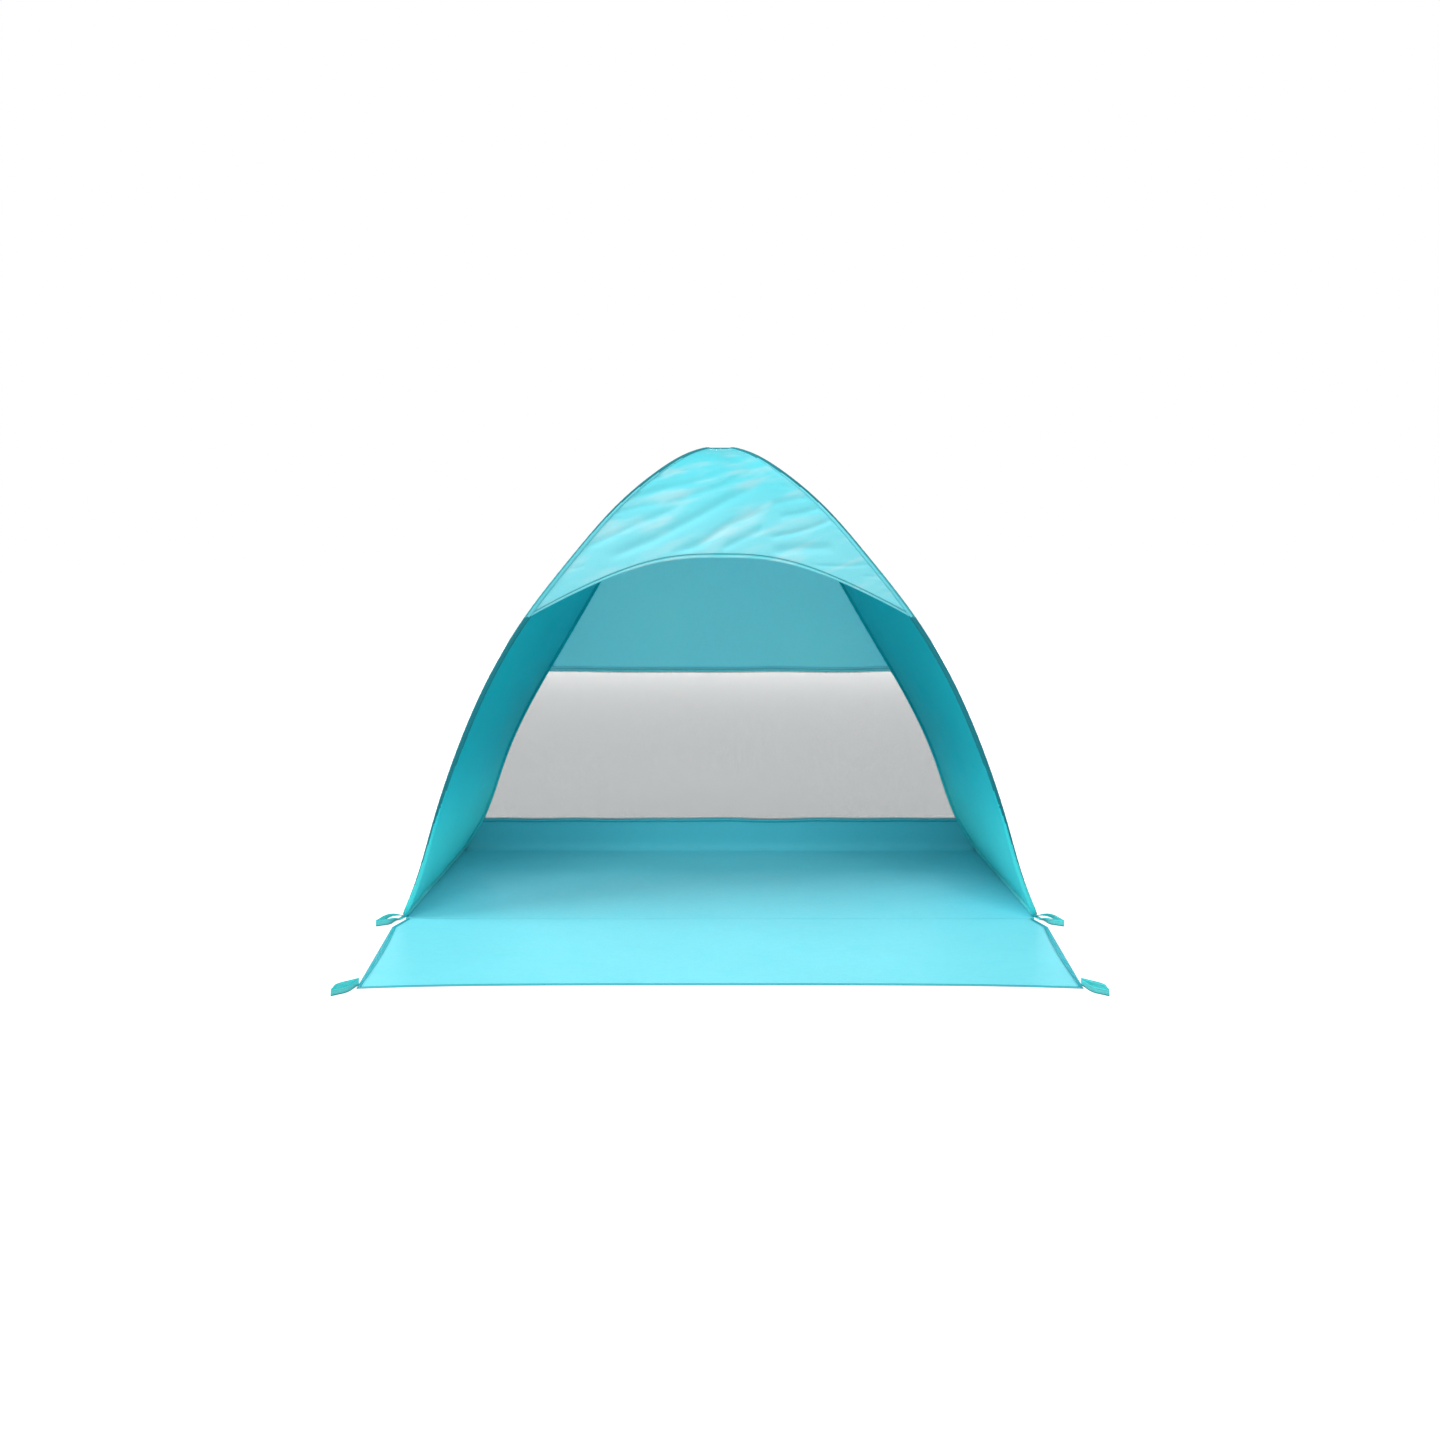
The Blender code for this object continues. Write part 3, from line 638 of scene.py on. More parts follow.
def cloth_material(
    name, colour, roughness=0.55, gloss=0.15, groove=0.3, groove_width=GROOVE_WIDTH,
    pitch=THREAD_PITCH, light=0.0, painted_sheen=0.0, rise=(0, PEAK_HEIGHT, 0.0, 0.0),
):
    """Coated polyester: weave, seams with stitches, packing creases, mottle and rubbing.

    Light is the share that comes through from the other side. Streaks are pale rubbed lines
    along the folds. Rise holds two heights, and how much stronger and how much lighter the
    colour grows from the first to the second.
    """
    made, tree, shader = new_material(name)
    effects = cloth_effects(tree, pitch, groove_width)
    # Painted light and shade by height: stronger and darker up the visor's top, lighter and paler
    # down to the walls' foot
    effects["Painted light"] = height_share(tree, *rise[:2])
    strength = {"Groove": GROOVE_DEEPER, "Painted light": rise[2]}
    lightness = {**LIGHTNESS, "Groove": -groove, "Painted light": rise[3]}
    # Pale lines along the folds: painted sheen
    if painted_sheen:
        lines = noise(tree, PAINTED_SHEEN_SCALE, 2, (PAINTED_SHEEN_STRETCH, 1, 1), PAINTED_SHEEN_LEAN)
        effects["Streaks"] = between(tree, lines, *PAINTED_SHEEN_RANGE)
        strength["Streaks"] = -painted_sheen
    looks = {
        "Base Color": tinted(tree, colour, *(total(tree, effects, w) for w in (lightness, strength))),
        "Roughness": total(tree, effects, {"Rubbed": 0.12}, roughness),
        "Specular IOR Level": gloss,
        "Sheen Weight": gloss / 3,
        "Sheen Roughness": 0.4,
    }
    if light:
        looks |= {"Subsurface Weight": light, "Subsurface Radius": (1, 1, 1)}
        looks["Subsurface Scale"] = 2 * CLOTH
    bump = tree.nodes.new("ShaderNodeBump")
    feed(bump, {"Distance": 1.0, "Height": total(tree, effects, RELIEF)})
    feed(shader, {**looks, "Normal": bump.outputs["Normal"]})
    return made


def net_material(name, colour):
    """Insect net: threads both ways with open holes between them, and a firm edge."""
    made, tree, shader = new_material(name)
    effects = cloth_effects(tree, NET_PITCH, NET_BORDER)
    _, effects["Up"] = cloth_axes(tree)
    # The net covers more towards its foot, so that it is darker towards the bottom
    weights = {"Height": 0.2, "Slubs": 0.06, "Up": -NET_DENSER_LOW / (WINDOW_TOP - WINDOW_BOTTOM)}
    cover = total(tree, effects, weights, NET_COVER + NET_DENSER_LOW)
    firm = calculate(tree, "MULTIPLY", effects["Groove"], 0.6)
    looks = {
        "Base Color": tinted(tree, colour, total(tree, effects, {"Mottle": 0.1, "Slubs": 0.1})),
        "Roughness": 0.75,
        "Specular IOR Level": 0.2,
        "Alpha": calculate(tree, "MAXIMUM", cover, firm),
    }
    feed(shader, looks)
    return made


def steel_material(name, colour):
    """Sprung steel wire, with tarnish in patches."""
    made, tree, shader = new_material(name)
    effects = use_group(tree, "Handling").outputs
    base = tinted(tree, colour, total(tree, effects, {"Rubbed": -0.4, "Mottle": 0.2}))
    rough = total(tree, effects, {"Rubbed": 0.25}, 0.3)
    feed(shader, {"Metallic": 1.0, "Base Color": base, "Roughness": rough})
    return made


def material(name):
    """A finish of the tent by its name, made the first time."""
    if name in bpy.data.materials:
        return bpy.data.materials[name]
    colour = getattr(bpy.context.scene.tent_colours, "canopy" if name == "visor" else name)
    if name in CLOTH_FINISHES:
        return cloth_material(name, colour, **CLOTH_FINISHES[name])
    return {"net": net_material, "steel": steel_material}[name](name, colour)


def stand_for(obj, body, node):
    """Puts a piece in a solid's place: it rides on a body, with the finish of a slot."""
    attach(obj, body)
    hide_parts(node)


def visor_hem_lines(edge, u):
    """Lengths along the edge of the hem's lower and upper lines, at shares u across.

    The arch rises from its ends to its middle as 1 - u to a power.
    """
    start = mark(edge, VISOR_END_HEIGHT)
    middle = mark(edge, VISOR_MID_HEIGHT)
    low = start + (middle - start) * (1 - np.abs(u) ** ARCH_POWER)
    return low, low + BAND_WIDTH


def on_side(points, side):
    """The right side's points, or their mirror image with its columns turned round."""
    return (points * np.array([side, 1, 1]))[:, ::side]


def inner_edge(line):
    """The line beside a hoop on the side of the tent's middle."""
    return beside(line, np.array([-1.0, 0.0, 0.0]))


def puckers(along, near, pitch, reach, start=0.0, fade=PUCKER_FADE):
    """Ripples along a seam that die away from it: exp(-near / reach)."""
    return ripple(along, pitch, start) * np.exp(-near / reach) * smooth_step(near / fade)


def visor_grid():
    """The canopy over the mouth: its folds are valleys, with puckers along the sleeves."""
    edge = inner_edge(FRONT_RISER)
    u = np.linspace(-1, 1, 241)[None, :]
    share = np.linspace(0, 1, 131)[:, None]
    _, high = visor_hem_lines(edge, u)
    along = high + share * (length_along(edge)[-1] - CUFF - high)
    points, inward = span_point(edge, along, u, CANOPY_DISH)
    x, z = points[..., 0], points[..., 2]
    drop = sum(deep * fold(x, z, xs, zs, wide) for xs, zs, deep, wide in VISOR_FOLDS)
    settings = bpy.context.scene.tent_cloth
    drop *= settings.fold_depth * smooth_step(edge_distance(points) / FOLD_FADE)
    side = np.minimum(1 - u, 1 + u) * np.abs(points[:, -1:, 0])
    drop += settings.pucker_depth * puckers(along + 0.2 * u, side, 0.022, 0.014)
    return points + drop[..., None] * inward


def make_visor():
    """The canopy over the mouth."""
    obj = cloth("visor_cloth", visor_grid(), "visor", "lining")
    stand_for(obj, "tent", "visor")


def make_visor_hem():
    """The turned hem along the visor's arched lower edge."""
    edge = inner_edge(FRONT_RISER)
    u = np.linspace(-1, 1, 161)
    low, high = visor_hem_lines(edge, u)
    start, inward = span_point(edge, low, u, CANOPY_DISH)
    end, _ = span_point(edge, high + CLEARANCE, u, CANOPY_DISH)
    finishes = "visor", "lining"
    obj = band("visor_hem_band", start, end, -inward, BAND_THICKNESS, (0.8,), *finishes)
    stand_for(obj, "tent", "visor_hem")


def paired_edges(count):
    """The right side wall's edges beside both risers, at matching heights."""
    hub_height = WINDOW_TOP - BAND_WIDTH / 2
    hubs = [sample(line, mark(line, hub_height)) for line in (FRONT_RISER, REAR_RISER)]
    hub = (hubs[0] + hubs[1]) / 2
    heights = (GROUND_LEVEL + CORNER_BEND, WINDOW_BOTTOM, WINDOW_TOP, VISOR_END_HEIGHT)
    marks = []
    for line in (FRONT_RISER, REAR_RISER):
        total_length = length_along(line)[-1]
        marks.append([0, *(mark(line, h) for h in heights), total_length - CUFF, total_length])
    mean = np.mean(marks, axis=0)
    at = np.linspace(0, mean[-1], count)
    edges = []
    for line, own in zip((FRONT_RISER, REAR_RISER), marks):
        path = sample(line, np.interp(at, mean, own))
        edges.append(beside(path, hub - path))
    edges[1][-1] = edges[0][-1]
    return edges


def wall_grid(start):
    """The right side wall, drawn in by dish * sin across * sin along, with soft ripples."""
    front, rear = paired_edges(181)
    u = np.linspace(0, 1, 101)[None, :]
    rows = (1 - u[..., None]) * front[:, None] + u[..., None] * rear[:, None]
    inward = unit(np.cross(rear - front, tangents(front)))
    inward[-1] = inward[-2]
    inward *= -np.sign(inward[:, :1])
    along = length_along(front)[:, None]
    depth = WALL_DISH * np.sin(math.pi * along / along[-1]) * np.sin(math.pi * u)
    span = np.linalg.norm(rear - front, axis=1)[:, None]
    near = np.minimum(u, 1 - u) * span
    seams = puckers(along, near, 0.03, 0.02, start)
    foot = puckers(u * span, along, 0.06, 0.08, start, fade=0.01)
    sway = ripple(along + 0.6 * u * span, 0.21, start) * smooth_step(near / WAVE_FADE)
    settings = bpy.context.scene.tent_cloth
    depth += settings.pucker_depth * (seams + foot) + settings.sway * sway
    return rows + (depth * smooth_step(span / 0.05))[..., None] * inward[:, None]


def make_walls():
    """Both side walls, each one curved sheet."""
    for side, label in SIDES:
        points = on_side(wall_grid(side), side)
        obj = cloth(f"wall_cloth_{label}", points, "canopy", "wall")
        stand_for(obj, "tent", f"side_wall_{label}")


def back_rows(start, end, count):
    """Rows of the back between two lengths along its edge, and the way into the tent."""
    u = np.linspace(1, -1, 141)[None, :]
    along = np.linspace(start, end, count)[:, None]
    points, inward = span_point(inner_edge(REAR_RISER), along, u, CANOPY_DISH, -1)
    x, z = points[..., 0], points[..., 2]
    near_top = np.exp(-(((z - WINDOW_TOP) / 0.05) ** 2))
    near_low = np.exp(-(((z - WINDOW_BOTTOM) / 0.03) ** 2))
    free = smooth_step((1 - np.abs(u)) / 0.2)
    wave = bpy.context.scene.tent_cloth.seam_wave * free
    points[..., 2] += wave * (near_top * ripple(x, 0.45) + near_low * ripple(x, 0.33, 2.0))
    return points, inward


def back_waves(start, end, count, lean, pitch):
    """Rows of the back with long waves in them, whose crests lean."""
    points, inward = back_rows(start, end, count)
    waves = ripple(points[..., 0] + lean * points[..., 2], pitch)
    waves *= bpy.context.scene.tent_cloth.sway * smooth_step(edge_distance(points) / WAVE_FADE)
    return points + waves[..., None] * inward


def make_back():
    """The upper back panel."""
    edge = inner_edge(REAR_RISER)
    high = mark(edge, WINDOW_TOP + BAND_WIDTH / 2)
    points = back_waves(high, length_along(edge)[-1] - CUFF, 91, 0.8, 0.23)
    obj = cloth("back_cloth", points, "canopy", "back")
    stand_for(obj, "tent", "back_panel")


def make_window():
    """The net of the window."""
    edge = inner_edge(REAR_RISER)
    low = mark(edge, WINDOW_BOTTOM + BAND_WIDTH / 2)
    high = mark(edge, WINDOW_TOP - BAND_WIDTH / 2)
    points = back_waves(low, high, 71, 1 / 1.3, 0.4 / 1.3)
    obj = cloth("window_net_cloth", points, "net", "net", CLOTH / 2)
    stand_for(obj, "tent", "mesh_window")


def make_window_tapes():
    """The tapes above and below the net."""
    edge = inner_edge(REAR_RISER)
    for name, centre, inside, stitches in (
        ("window_bottom_tape", WINDOW_BOTTOM, "floor", (0.3, 0.95)),
        ("window_top_tape", WINDOW_TOP, "tape", (0.05, 0.7)),
    ):
        start = mark(edge, centre - BAND_WIDTH / 2)
        end = mark(edge, centre + BAND_WIDTH / 2)
        rows, inward = back_rows(start, end, 2)
        finishes = inside, "canopy"
        obj = band(f"{name}_band", *rows, inward[0], BAND_THICKNESS, stitches, *finishes)
        stand_for(obj, "tent", name)


def make_groundsheet():
    """The tent's floor: flat, then turned up at the rear in the back's own curve."""
    edge = inner_edge(REAR_RISER)
    end = mark(edge, WINDOW_BOTTOM - BAND_WIDTH / 2)
    lifted, _ = back_rows(CUFF + CORNER_BEND, end, TURN_ROWS)
    flat = CLOTH / 2
    lifted[..., 2] -= ((GROUND_LEVEL - flat) * np.linspace(1, 0, TURN_ROWS))[:, None]
    u = np.linspace(1, -1, lifted.shape[1])
    lifted[..., 0] += TUCK * np.sign(u) * smooth_step(10 * np.abs(u) - 9)
    rear_y = lifted[0, 0, 1]
    y = np.linspace(HINGE_Y, rear_y, 101)[:-1, None]
    runs = np.stack([FRONT_RISER[0], REAR_RISER[0]])
    half = np.interp(y, runs[:, 1], runs[:, 0]) - EDGE_OFFSET
    half += TUCK * smooth_step((y - FOOT_Y) / CORNER_BEND)
    half += (lifted[0, 0, 0] - half) * smooth_step((y - rear_y) / CORNER_BEND + 1)
    x = u * half
    near = np.minimum(half - np.abs(x), np.minimum(y - HINGE_Y, rear_y - y + 0.05))
    rise = 1 + ripple(x + 0.5 * y, 0.31) * ripple(y, 0.24, 1.0)
    z = flat + bpy.context.scene.tent_cloth.floor_lift * rise * smooth_step(near / WAVE_FADE)
    rows = np.stack([x, y + 0 * x, z], axis=-1)
    points = np.concatenate([rows, lifted])
    obj = cloth("groundsheet_cloth", points, "floor", "floor")
    stand_for(obj, "tent", "groundsheet")
    set_edge(obj, side_distance(points))


def mat_half_width(forward):
    """Half the mat's width, on straight lines from the fold to the shoulder and the front."""
    places = (0, MAT_SHOULDER_SETBACK, MAT_LENGTH + MAT_CORNER_PULL)
    widths = (MAT_REAR_WIDTH / 2, MAT_SHOULDER_WIDTH / 2, MAT_FRONT_WIDTH / 2)
    return np.interp(forward, places, widths)


def mat_points(u, v, inset, height):
    """Points of the mat at shares u across and v forward, inset from its front and sides.

    The front curves forward as a power of u. The inset from a side narrows as a sine towards
    both its ends.
    """
    front = MAT_LENGTH + MAT_CORNER_PULL * np.abs(u) ** PULL_POWER - inset
    forward = v * front
    narrowed = HEM_END_SHARE + (1 - HEM_END_SHARE) * np.sin(math.pi * v)
    flat = u * (mat_half_width(forward) - inset * narrowed)
    return np.stack([flat, HINGE_Y - forward, np.full_like(flat, height)], axis=-1)


def make_mat():
    """The mat before the mouth."""
    u, v = np.meshgrid(np.linspace(-1, 1, 161), np.linspace(1, 0, 101))
    points = mat_points(u, v, BAND_WIDTH, CLOTH / 2)
    x, y = points[..., 0], points[..., 1]
    rise = 1 + ripple(x - 0.4 * y, 0.37) * ripple(y, 0.2, 3.0)
    near = np.minimum(edge_distance(points), (HINGE_Y - y) / 2)
    points[..., 2] += bpy.context.scene.tent_cloth.floor_lift * rise * smooth_step(near / WAVE_FADE)
    obj = cloth("mat_cloth", points, "floor", "floor")
    set_edge(obj, np.minimum(side_distance(points), cloth_lengths(points)[1]))
    stand_for(obj, "mat", "front_mat")


def make_mat_hems():
    """The hems on the mat's front and sides."""
    u = np.linspace(-1, 1, 161)
    v = np.linspace(0, 1, 101)
    lines = {f"mat_hem_{label}": (0 * v + side, v[::-side]) for side, label in SIDES}
    lines["mat_hem_front"] = (u, 0 * u + 1)
    for name, (u, v) in lines.items():
        inner = mat_points(u, v, BAND_WIDTH + CLEARANCE, BAND_THICKNESS / 2)
        outer = mat_points(u, v, 0, BAND_THICKNESS / 2)
        up = np.broadcast_to(np.array([0.0, 0.0, 1.0]), inner.shape)
        thickness = 0.9 * BAND_THICKNESS
        obj = band(f"{name}_band", inner, outer, up, thickness, (0.3,), "hem", "hem")
        stand_for(obj, "mat", name)


def sleeve_rings(line, aim, turn):
    """Rings round a hoop, at turns from aim, gathered along it.

    Each is a circle that is drawn out to a lip towards aim as the cosine cubed.
    """
    along = tangents(line)
    first = unit(aim - np.sum(aim * along, axis=1, keepdims=True) * along)
    second = np.cross(along, first)
    gathers = 1 + 0.05 * ripple(length_along(line), 0.02)[:, None] * np.cos(2 * turn)
    radius = SLEEVE_RADIUS * gathers * (1 + 0.5 * np.clip(np.cos(turn), 0, 1) ** 3)
    circle = np.cos(turn)[:, None] * first[:, None] + np.sin(turn)[:, None] * second[:, None]
    rings = line[:, None] + radius[..., None] * circle
    rings[..., 2] = np.maximum(rings[..., 2], 0)
    return rings


def make_sleeves():
    """Channels of cloth round the hoops."""
    ground = np.linspace(FRONT_RISER[0], REAR_RISER[0], 90)
    turn = np.linspace(0, 2 * math.pi, 24, endpoint=False)
    for side, label in SIDES:
        for name, line, aim in (
            ("front_sleeve", FRONT_RISER, (-1.0, 0.0, 0.0)),
            ("rear_sleeve", REAR_RISER, (-1.0, 0.0, 0.0)),
            ("ground_sleeve", ground, (-1.0, 0.0, -0.4)),
        ):
            path = sample(line, np.linspace(0, length_along(line)[-1], 320))
            rings = on_side(sleeve_rings(path, np.array(aim), turn), side)
            add_sleeve(f"{name}_{label}", rings, turn[::side], side)


def face_vectors(obj, name):
    """The centre or the normal of each face."""
    values = np.empty(3 * len(obj.data.polygons))
    obj.data.polygons.foreach_get(name, values)
    return values.reshape(-1, 3)


def sleeve_finishes(name, centre, normal, around, side):
    """Each face's finish: 0 is the sleeve's cloth, 1 the wall's lining and 2 trim.

    Rear and ground sleeves are lined towards the tent's inside. A front sleeve is lined below
    the visor's ends, with trim outwards that starts further round at the foot. Above them its
    trim covers more of the way round towards the peak.
    """
    if not name.startswith("front"):
        return (side * normal[:, 0] < 0) & (normal[:, 1] < 0.3)
    height = centre[:, 2]
    climbed = (height - VISOR_END_HEIGHT) / (TOP_LEVEL - VISOR_END_HEIGHT)
    # A band round a front sleeve's top takes finish 2: partly binding, partly painted shade along its
    # outline
    bound_and_shaded = (around > BINDING_SHADE_START - BINDING_SHADE_TAPER * climbed) & (around < BINDING_SHADE_END)
    share = np.clip((height - PAINTED_LIGHT_FOOT) / (PAINTED_LIGHT_TOP - PAINTED_LIGHT_FOOT), 0, 1)
    # Below the visor, faces that look outwards take finish 2, fewer towards the foot: painted shade
    # along the outline
    shade_edged = np.where(side * normal[:, 0] > SHADE_EDGE_FOOT - SHADE_EDGE_CHANGE * share, 2, 1)
    low = (climbed < 0) & (normal[:, 1] < 0.5)
    return np.where(low, shade_edged, np.where(bound_and_shaded, 2, 0))


def add_sleeve(name, rings, turn, side):
    """A sleeve's object, with its seam along it and a finish for each face."""
    obj = grid_mesh(f"{name}_channel", rings, ("sleeve", "wall", "trim"), ring=True)
    set_edge(obj, np.tile(SLEEVE_RADIUS * np.abs(turn - SEAM_SHADE_TURN), len(rings)))
    centre, normal = (face_vectors(obj, key) for key in ("center", "normal"))
    middle = np.mod(turn + side * math.pi / len(turn), 2 * math.pi)
    around = np.append(np.tile(middle, len(rings) - 1), [math.pi, math.pi])
    index = sleeve_finishes(name, centre, normal, around, side)
    obj.data.polygons.foreach_set("material_index", index.astype(np.int32))
    stand_for(obj, "tent", name)


def make_peak_binding():
    """The tape over the seam between the visor and the back, from hoop to hoop."""
    cuffs = [sample(line, length_along(line)[-1] - CUFF) for line in (FRONT_RISER, REAR_RISER)]
    edge = inner_edge(np.stack([cuffs[0], FRONT_RISER[-1], cuffs[1]]))
    u = np.linspace(-1, 1, 31)[:, None] * np.array([1, 0, 0]) + np.array([0, 1, 1])
    up = np.broadcast_to(np.array([0.0, 0.0, 1.0]), u.shape)
    start, end = edge[0] * u, edge[-1] * u
    shape = BINDING_THICKNESS, (0.2, 0.8)
    obj = band("peak_binding_tape", start, end, up, *shape, "trim", "trim")
    stand_for(obj, "tent", "peak_binding")


def loop_path():
    """A peg loop's middle line from above: narrow root, eye past the middle, round tip."""
    t = np.linspace(0, 2 * math.pi, 72, endpoint=False)
    x = LOOP_LENGTH / 2 * (1 - np.cos(t))
    skew = np.interp(x / LOOP_LENGTH, (0, EYE_BULGE_SHARE, 1), (0, math.pi / 2, math.pi))
    half = LOOP_ROOT_RADIUS * np.abs(np.sin(t)) + EYE_WIDTH / 2 * np.sin(skew) ** 2
    path = np.stack([x, half * np.sign(np.sin(t)), np.zeros_like(x)], axis=1)
    ahead = unit(np.roll(path, -1, axis=0) - np.roll(path, 1, axis=0))
    across = np.stack([-ahead[:, 1], ahead[:, 0], ahead[:, 2]], axis=1)
    return path + across * WEBBING_THICKNESS / 2, across


def loop_rings(root, heading, twist, tilt):
    """Rings of webbing round the loop, tilted about its own line and twisted near the root."""
    path, across = loop_path()
    share = np.linspace(-1, 1, 9)[None, :]
    thick = (WEBBING_THICKNESS / 2 * (1 - 0.5 * share**8))[..., None]
    face = path[:, None] + thick * across[:, None]
    back = path[:, None] - thick * across[:, None]
    for half in (face, back):
        half[..., 2] += share * WEBBING_WIDTH / 2
    rings = np.concatenate([face, back[:, ::-1]], axis=1)
    x, y, z = np.moveaxis(rings, -1, 0)
    turn = tilt + twist * smooth_step(1 - x / (LOOP_LENGTH * 0.8))
    y, z = y * np.cos(turn) - z * np.sin(turn), y * np.sin(turn) + z * np.cos(turn)
    z += np.maximum(0, -WEBBING_WIDTH / 2 - z.min(axis=1, keepdims=True))
    ahead = x * math.cos(heading) - y * math.sin(heading)
    aside = x * math.sin(heading) + y * math.cos(heading)
    return np.stack([ahead, aside, z], axis=-1) + np.array(root)


def edge_heading(forward):
    """The way that the mat's right edge runs forward, as an angle from +X."""
    here, ahead = mat_half_width(np.array([forward, forward + CLEARANCE]))
    return math.atan2(-CLEARANCE, ahead - here)


def make_loops():
    """The six peg loops."""
    reach = 2 * CLEARANCE
    middle = WEBBING_WIDTH / 2
    forward = MAT_LENGTH + MAT_CORNER_PULL - MAT_LOOP_SETBACK
    foot = (FRONT_RISER[0, 0] - FOOT_LOOP_ASIDE, HINGE_Y + FOOT_LOOP_BEHIND, middle)
    rear = (REAR_RISER[0, 0] + SLEEVE_RADIUS + reach, REAR_RISER[0, 1], middle)
    on_mat = (mat_half_width(forward) + reach, HINGE_Y - forward, middle)
    for name, root, heading, twist, tilt in (
        ("foot_loop", foot, edge_heading(0) + FOOT_LOOP_FLARE, FOOT_LOOP_TWIST, 0),
        ("rear_loop", rear, REAR_LOOP_HEADING, 0, 0),
        ("mat_loop", on_mat, edge_heading(forward) + MAT_LOOP_FLARE, 0, MAT_LOOP_TILT),
    ):
        for side, label in SIDES:
            rings = on_side(loop_rings(root, heading, twist, tilt), side)
            label = f"{name}_{label}"
            obj = grid_mesh(f"{label}_webbing", rings, ["loop"], ring=True, looped=True)
            share = np.linspace(-1, 1, rings.shape[1] // 2)
            from_edge = (1 - np.abs(np.concatenate([share, share[::-1]]))) * WEBBING_WIDTH / 2
            set_edge(obj, np.tile(from_edge, len(rings)))
            stand_for(obj, label, label)


def make_hoops():
    """The finish of the steel hoops and ferrules."""
    for label in ("left", "right"):
        for name in (f"spring_hoop_{label}", f"hoop_ferrule_{label}"):
            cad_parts[name].material_slots[0].material = material("steel")


def stage_material():
    """The pale floor: bright to the camera, and grey enough in itself to keep a soft shadow."""
    made, tree, shader = new_material("stage_floor")
    path = tree.nodes.new("ShaderNodeLightPath")
    looks = {
        "Base Color": (*[FLOOR_GREY] * 3, 1),
        "Roughness": 1.0,
        "Specular IOR Level": 0.0,
        "Emission Color": (1, 1, 1, 1),
        "Emission Strength": calculate(tree, "MULTIPLY", path.outputs["Is Camera Ray"], FLOOR_GLOW),
    }
    feed(shader, looks)
    return made


def add_dome(strength):
    """A white world that lights evenly, and is plain white where the camera sees it."""
    world = bpy.data.worlds.new("studio")
    bpy.context.scene.world = world
    world.use_nodes = True
    tree = world.node_tree
    path = tree.nodes.new("ShaderNodeLightPath")
    seen = calculate(tree, "MULTIPLY", path.outputs["Is Camera Ray"], 1 - strength)
    glow = calculate(tree, "ADD", seen, strength)
    feed(tree.nodes["Background"], {"Color": (1, 1, 1, 1), "Strength": glow})


def add_lamp(name, place, width, length, power, hidden=False):
    """A rectangular lamp aimed at the middle of the tent."""
    lamp = bpy.data.lights.new(name, "AREA")
    lamp.shape = "RECTANGLE"
    lamp.size = width
    lamp.size_y = length
    lamp.energy = power
    holder = bpy.data.objects.new(name, lamp)
    holder.location = place
    aim = Vector((0, 0, PEAK_HEIGHT / 2)) - holder.location
    holder.rotation_euler = aim.to_track_quat("-Z", "Y").to_euler()
    holder.visible_camera = not hidden
    bpy.context.scene.collection.objects.link(holder)


def add_camera():
    """The camera at the photograph's place and angle."""
    lens = bpy.data.cameras.new("camera")
    lens.lens = CAMERA_LENS
    lens.sensor_width = CAMERA_SENSOR
    camera = bpy.data.objects.new("camera", lens)
    camera.location = CAMERA_PLACE
    camera.rotation_euler = (math.pi / 2 - CAMERA_DIP, 0, 0)
    bpy.context.scene.collection.objects.link(camera)
    bpy.context.scene.camera = camera


def make_stage():
    """A pale floor and a white dome, soft lamps in front, beside and behind, and the camera."""
    settings = bpy.context.scene.tent_stage
    side = np.linspace(-FLOOR_REACH, FLOOR_REACH, 3)
    x, y = np.meshgrid(side, side)
    ground = np.stack([x, y, np.full_like(x, -CLOTH / 2)], axis=-1)
    floor = grid_mesh("stage_floor", ground[:, ::-1], [])
    floor.data.materials.append(stage_material())
    add_dome(settings.dome)
    add_lamp("front_lamp", (0, -4.4, 5.0), 4, 2, settings.front_lamp)
    add_lamp("side_lamp", (-2.2, -0.8, 5.0), 2.4, 2.4, settings.side_lamp)
    add_lamp("back_lamp", (0, 8.0, 1.6), 4, 2, settings.back_lamp, hidden=True)
    for side, label in SIDES:
        add_lamp(f"fill_lamp_{label}", (side * 4.0, 0.3, 1.6), 2, 1, settings.fill_lamps, hidden=True)
    add_camera()
    bpy.context.scene.view_settings.view_transform = "Standard"


def colour_property(name, rgb, description):
    """A colour setting from levels of 0 to 255."""
    levels = [linear(value) for value in rgb]
    return bpy.props.FloatVectorProperty(
        name=name, default=levels, size=3, subtype="COLOR", min=0, max=1, description=description
    )


def number_property(name, value, description, unit="NONE"):
    """A setting that is 0 or more, in metres or watts where it has a unit."""
    return bpy.props.FloatProperty(
        name=name, default=value, min=0, unit=unit, description=description
    )


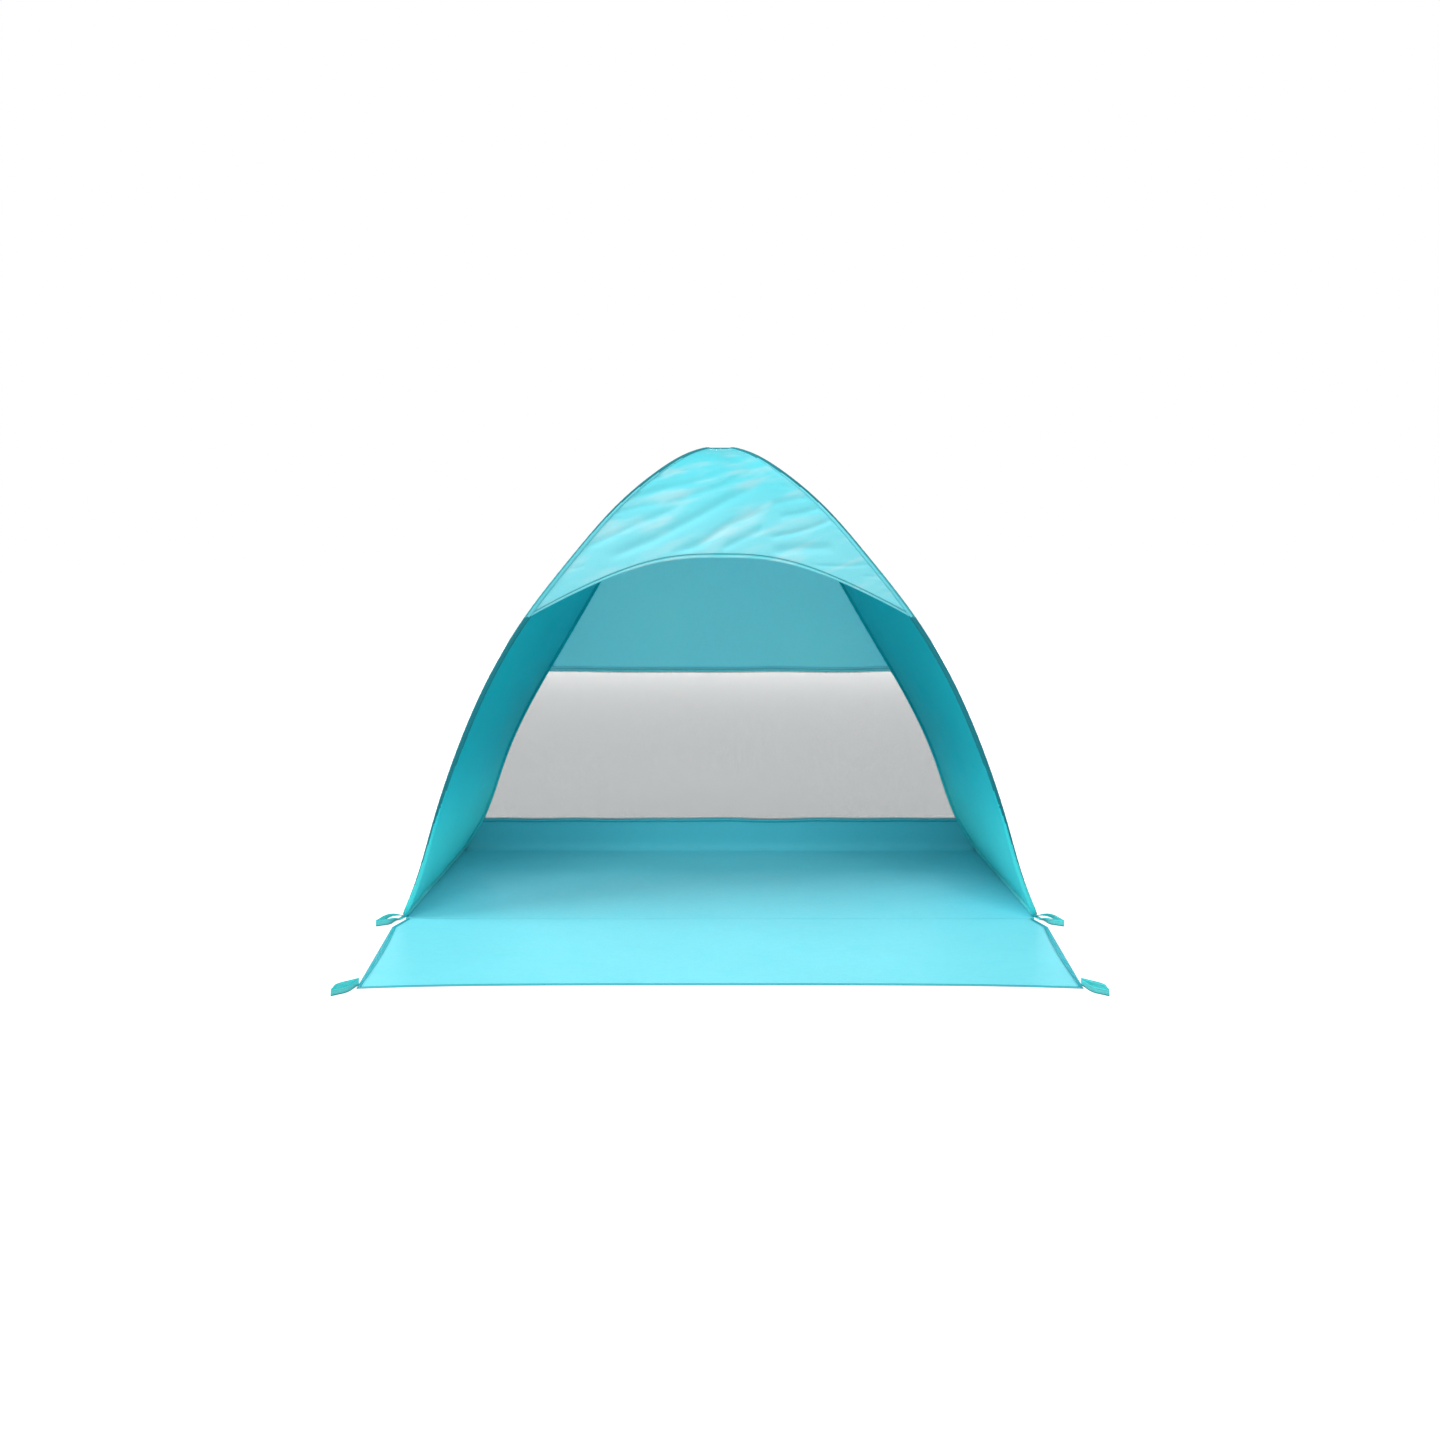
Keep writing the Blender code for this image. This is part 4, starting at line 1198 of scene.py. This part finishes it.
class TentColours(bpy.types.PropertyGroup):
    """Colours of the tent's finishes."""

    canopy: colour_property("Canopy", (130, 234, 246), "Outside of the canopy and walls")
    # The visor's inside: the canopy's cloth painted darker, as painted shade
    lining: colour_property("Visor lining", (90, 200, 214), "Inside of the visor")
    sleeve: colour_property("Sleeves", (122, 228, 240), "Outside of the hoops' sleeves")
    # The walls' inside: the canopy's cloth painted dark, as painted shade; the sleeves take it too
    wall: colour_property("Wall lining", (16, 200, 210), "Inside of the side walls")
    # The back's inside: the canopy's cloth painted paler and lighter, as painted light coming through
    # it
    back: colour_property("Back lining", (184, 235, 255), "Inside of the back")
    # The inside of the tape above the window: painted lighter still, as painted light coming through
    # it
    tape: colour_property("Window tape", (205, 248, 255), "Inside of the tape above the window")
    floor: colour_property("Floor", (120, 231, 245), "Groundsheet and mat")
    # The hems' darker colour is painted shade, as on a rolled edge
    hem: colour_property("Mat hems", (76, 194, 208), "Hems round the mat")
    # Dark finish of the binding over the peak, and painted shade along the front sleeves' outlines
    trim: colour_property("Trim", (45, 140, 152), "Binding over the peak")
    loop: colour_property("Peg loops", (120, 252, 255), "Webbing of the peg loops")
    net: colour_property("Net", (130, 118, 115), "Threads of the window's net")
    steel: colour_property("Steel", (150, 152, 155), "Sprung hoops and ferrules")


class TentCloth(bpy.types.PropertyGroup):
    """How the cloth hangs."""

    fold_depth: number_property("Folds", 1.25, "Strength of the visor's folds")
    pucker_depth: number_property("Puckers", 0.0009, "Depth of the puckers at the seams", "LENGTH")
    sway: number_property("Sway", 0.0015, "Depth of the long soft waves in the panels", "LENGTH")
    seam_wave: number_property("Seam wave", 0.002, "How far the window's seams stray", "LENGTH")
    floor_lift: number_property("Floor lift", 0.0008, "Height of the floor's soft waves", "LENGTH")


class TentStage(bpy.types.PropertyGroup):
    """Light in the studio."""

    dome: number_property("Dome", 0.36, "Even light all round")
    front_lamp: number_property("Front lamp", 180, "Wide lamp above the front", "POWER")
    side_lamp: number_property("Side lamp", 108, "Lamp that shows the folds", "POWER")
    fill_lamps: number_property("Fill lamps", 30, "Lamps far to the left and right", "POWER")
    back_lamp: number_property("Back lamp", 420, "Wide lamp behind the tent", "POWER")


def operator(build):
    """An operator class that runs one builder, and is named and described as it is."""

    def execute(self, context):
        build()
        return {"FINISHED"}

    name = build.__name__.removeprefix("make_")
    contents = {
        "__doc__": build.__doc__.splitlines()[0].rstrip("."),
        "bl_idname": f"tent.{name}",
        "bl_label": name.replace("_", " ").capitalize(),
        "execute": execute,
    }
    return type(f"TENT_OT_{name}", (bpy.types.Operator,), contents)


BUILDERS = (
    make_visor,
    make_visor_hem,
    make_walls,
    make_back,
    make_window,
    make_window_tapes,
    make_groundsheet,
    make_mat,
    make_mat_hems,
    make_sleeves,
    make_peak_binding,
    make_loops,
    make_hoops,
    make_stage,
)
OPERATORS = tuple(operator(build) for build in BUILDERS)


class TENT_PT_panel(bpy.types.Panel):
    """The tent's pieces and settings."""

    bl_label = "Beach tent"
    bl_idname = "TENT_PT_panel"
    bl_space_type = "VIEW_3D"
    bl_region_type = "UI"
    bl_category = "Beach tent"

    def draw(self, context):
        for group in ("tent_colours", "tent_cloth", "tent_stage"):
            settings = getattr(context.scene, group)
            for key in settings.__annotations__:
                self.layout.prop(settings, key)
        for kind in OPERATORS:
            self.layout.operator(kind.bl_idname)


CLASSES = (TentColours, TentCloth, TentStage, *OPERATORS, TENT_PT_panel)


def register():
    """Makes the classes and the scene's settings known."""
    for kind in CLASSES:
        bpy.utils.register_class(kind)
    bpy.types.Scene.tent_colours = bpy.props.PointerProperty(type=TentColours)
    bpy.types.Scene.tent_cloth = bpy.props.PointerProperty(type=TentCloth)
    bpy.types.Scene.tent_stage = bpy.props.PointerProperty(type=TentStage)


def unregister():
    """Takes back what register did."""
    del bpy.types.Scene.tent_colours
    del bpy.types.Scene.tent_cloth
    del bpy.types.Scene.tent_stage
    for kind in reversed(CLASSES):
        bpy.utils.unregister_class(kind)


def main():
    """Builds the tent, and writes the boxes before and after."""
    register()
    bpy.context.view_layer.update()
    for kind in OPERATORS:
        getattr(bpy.ops.tent, kind.bl_idname.split(".")[1])()


if __name__ == "__main__":
    main()
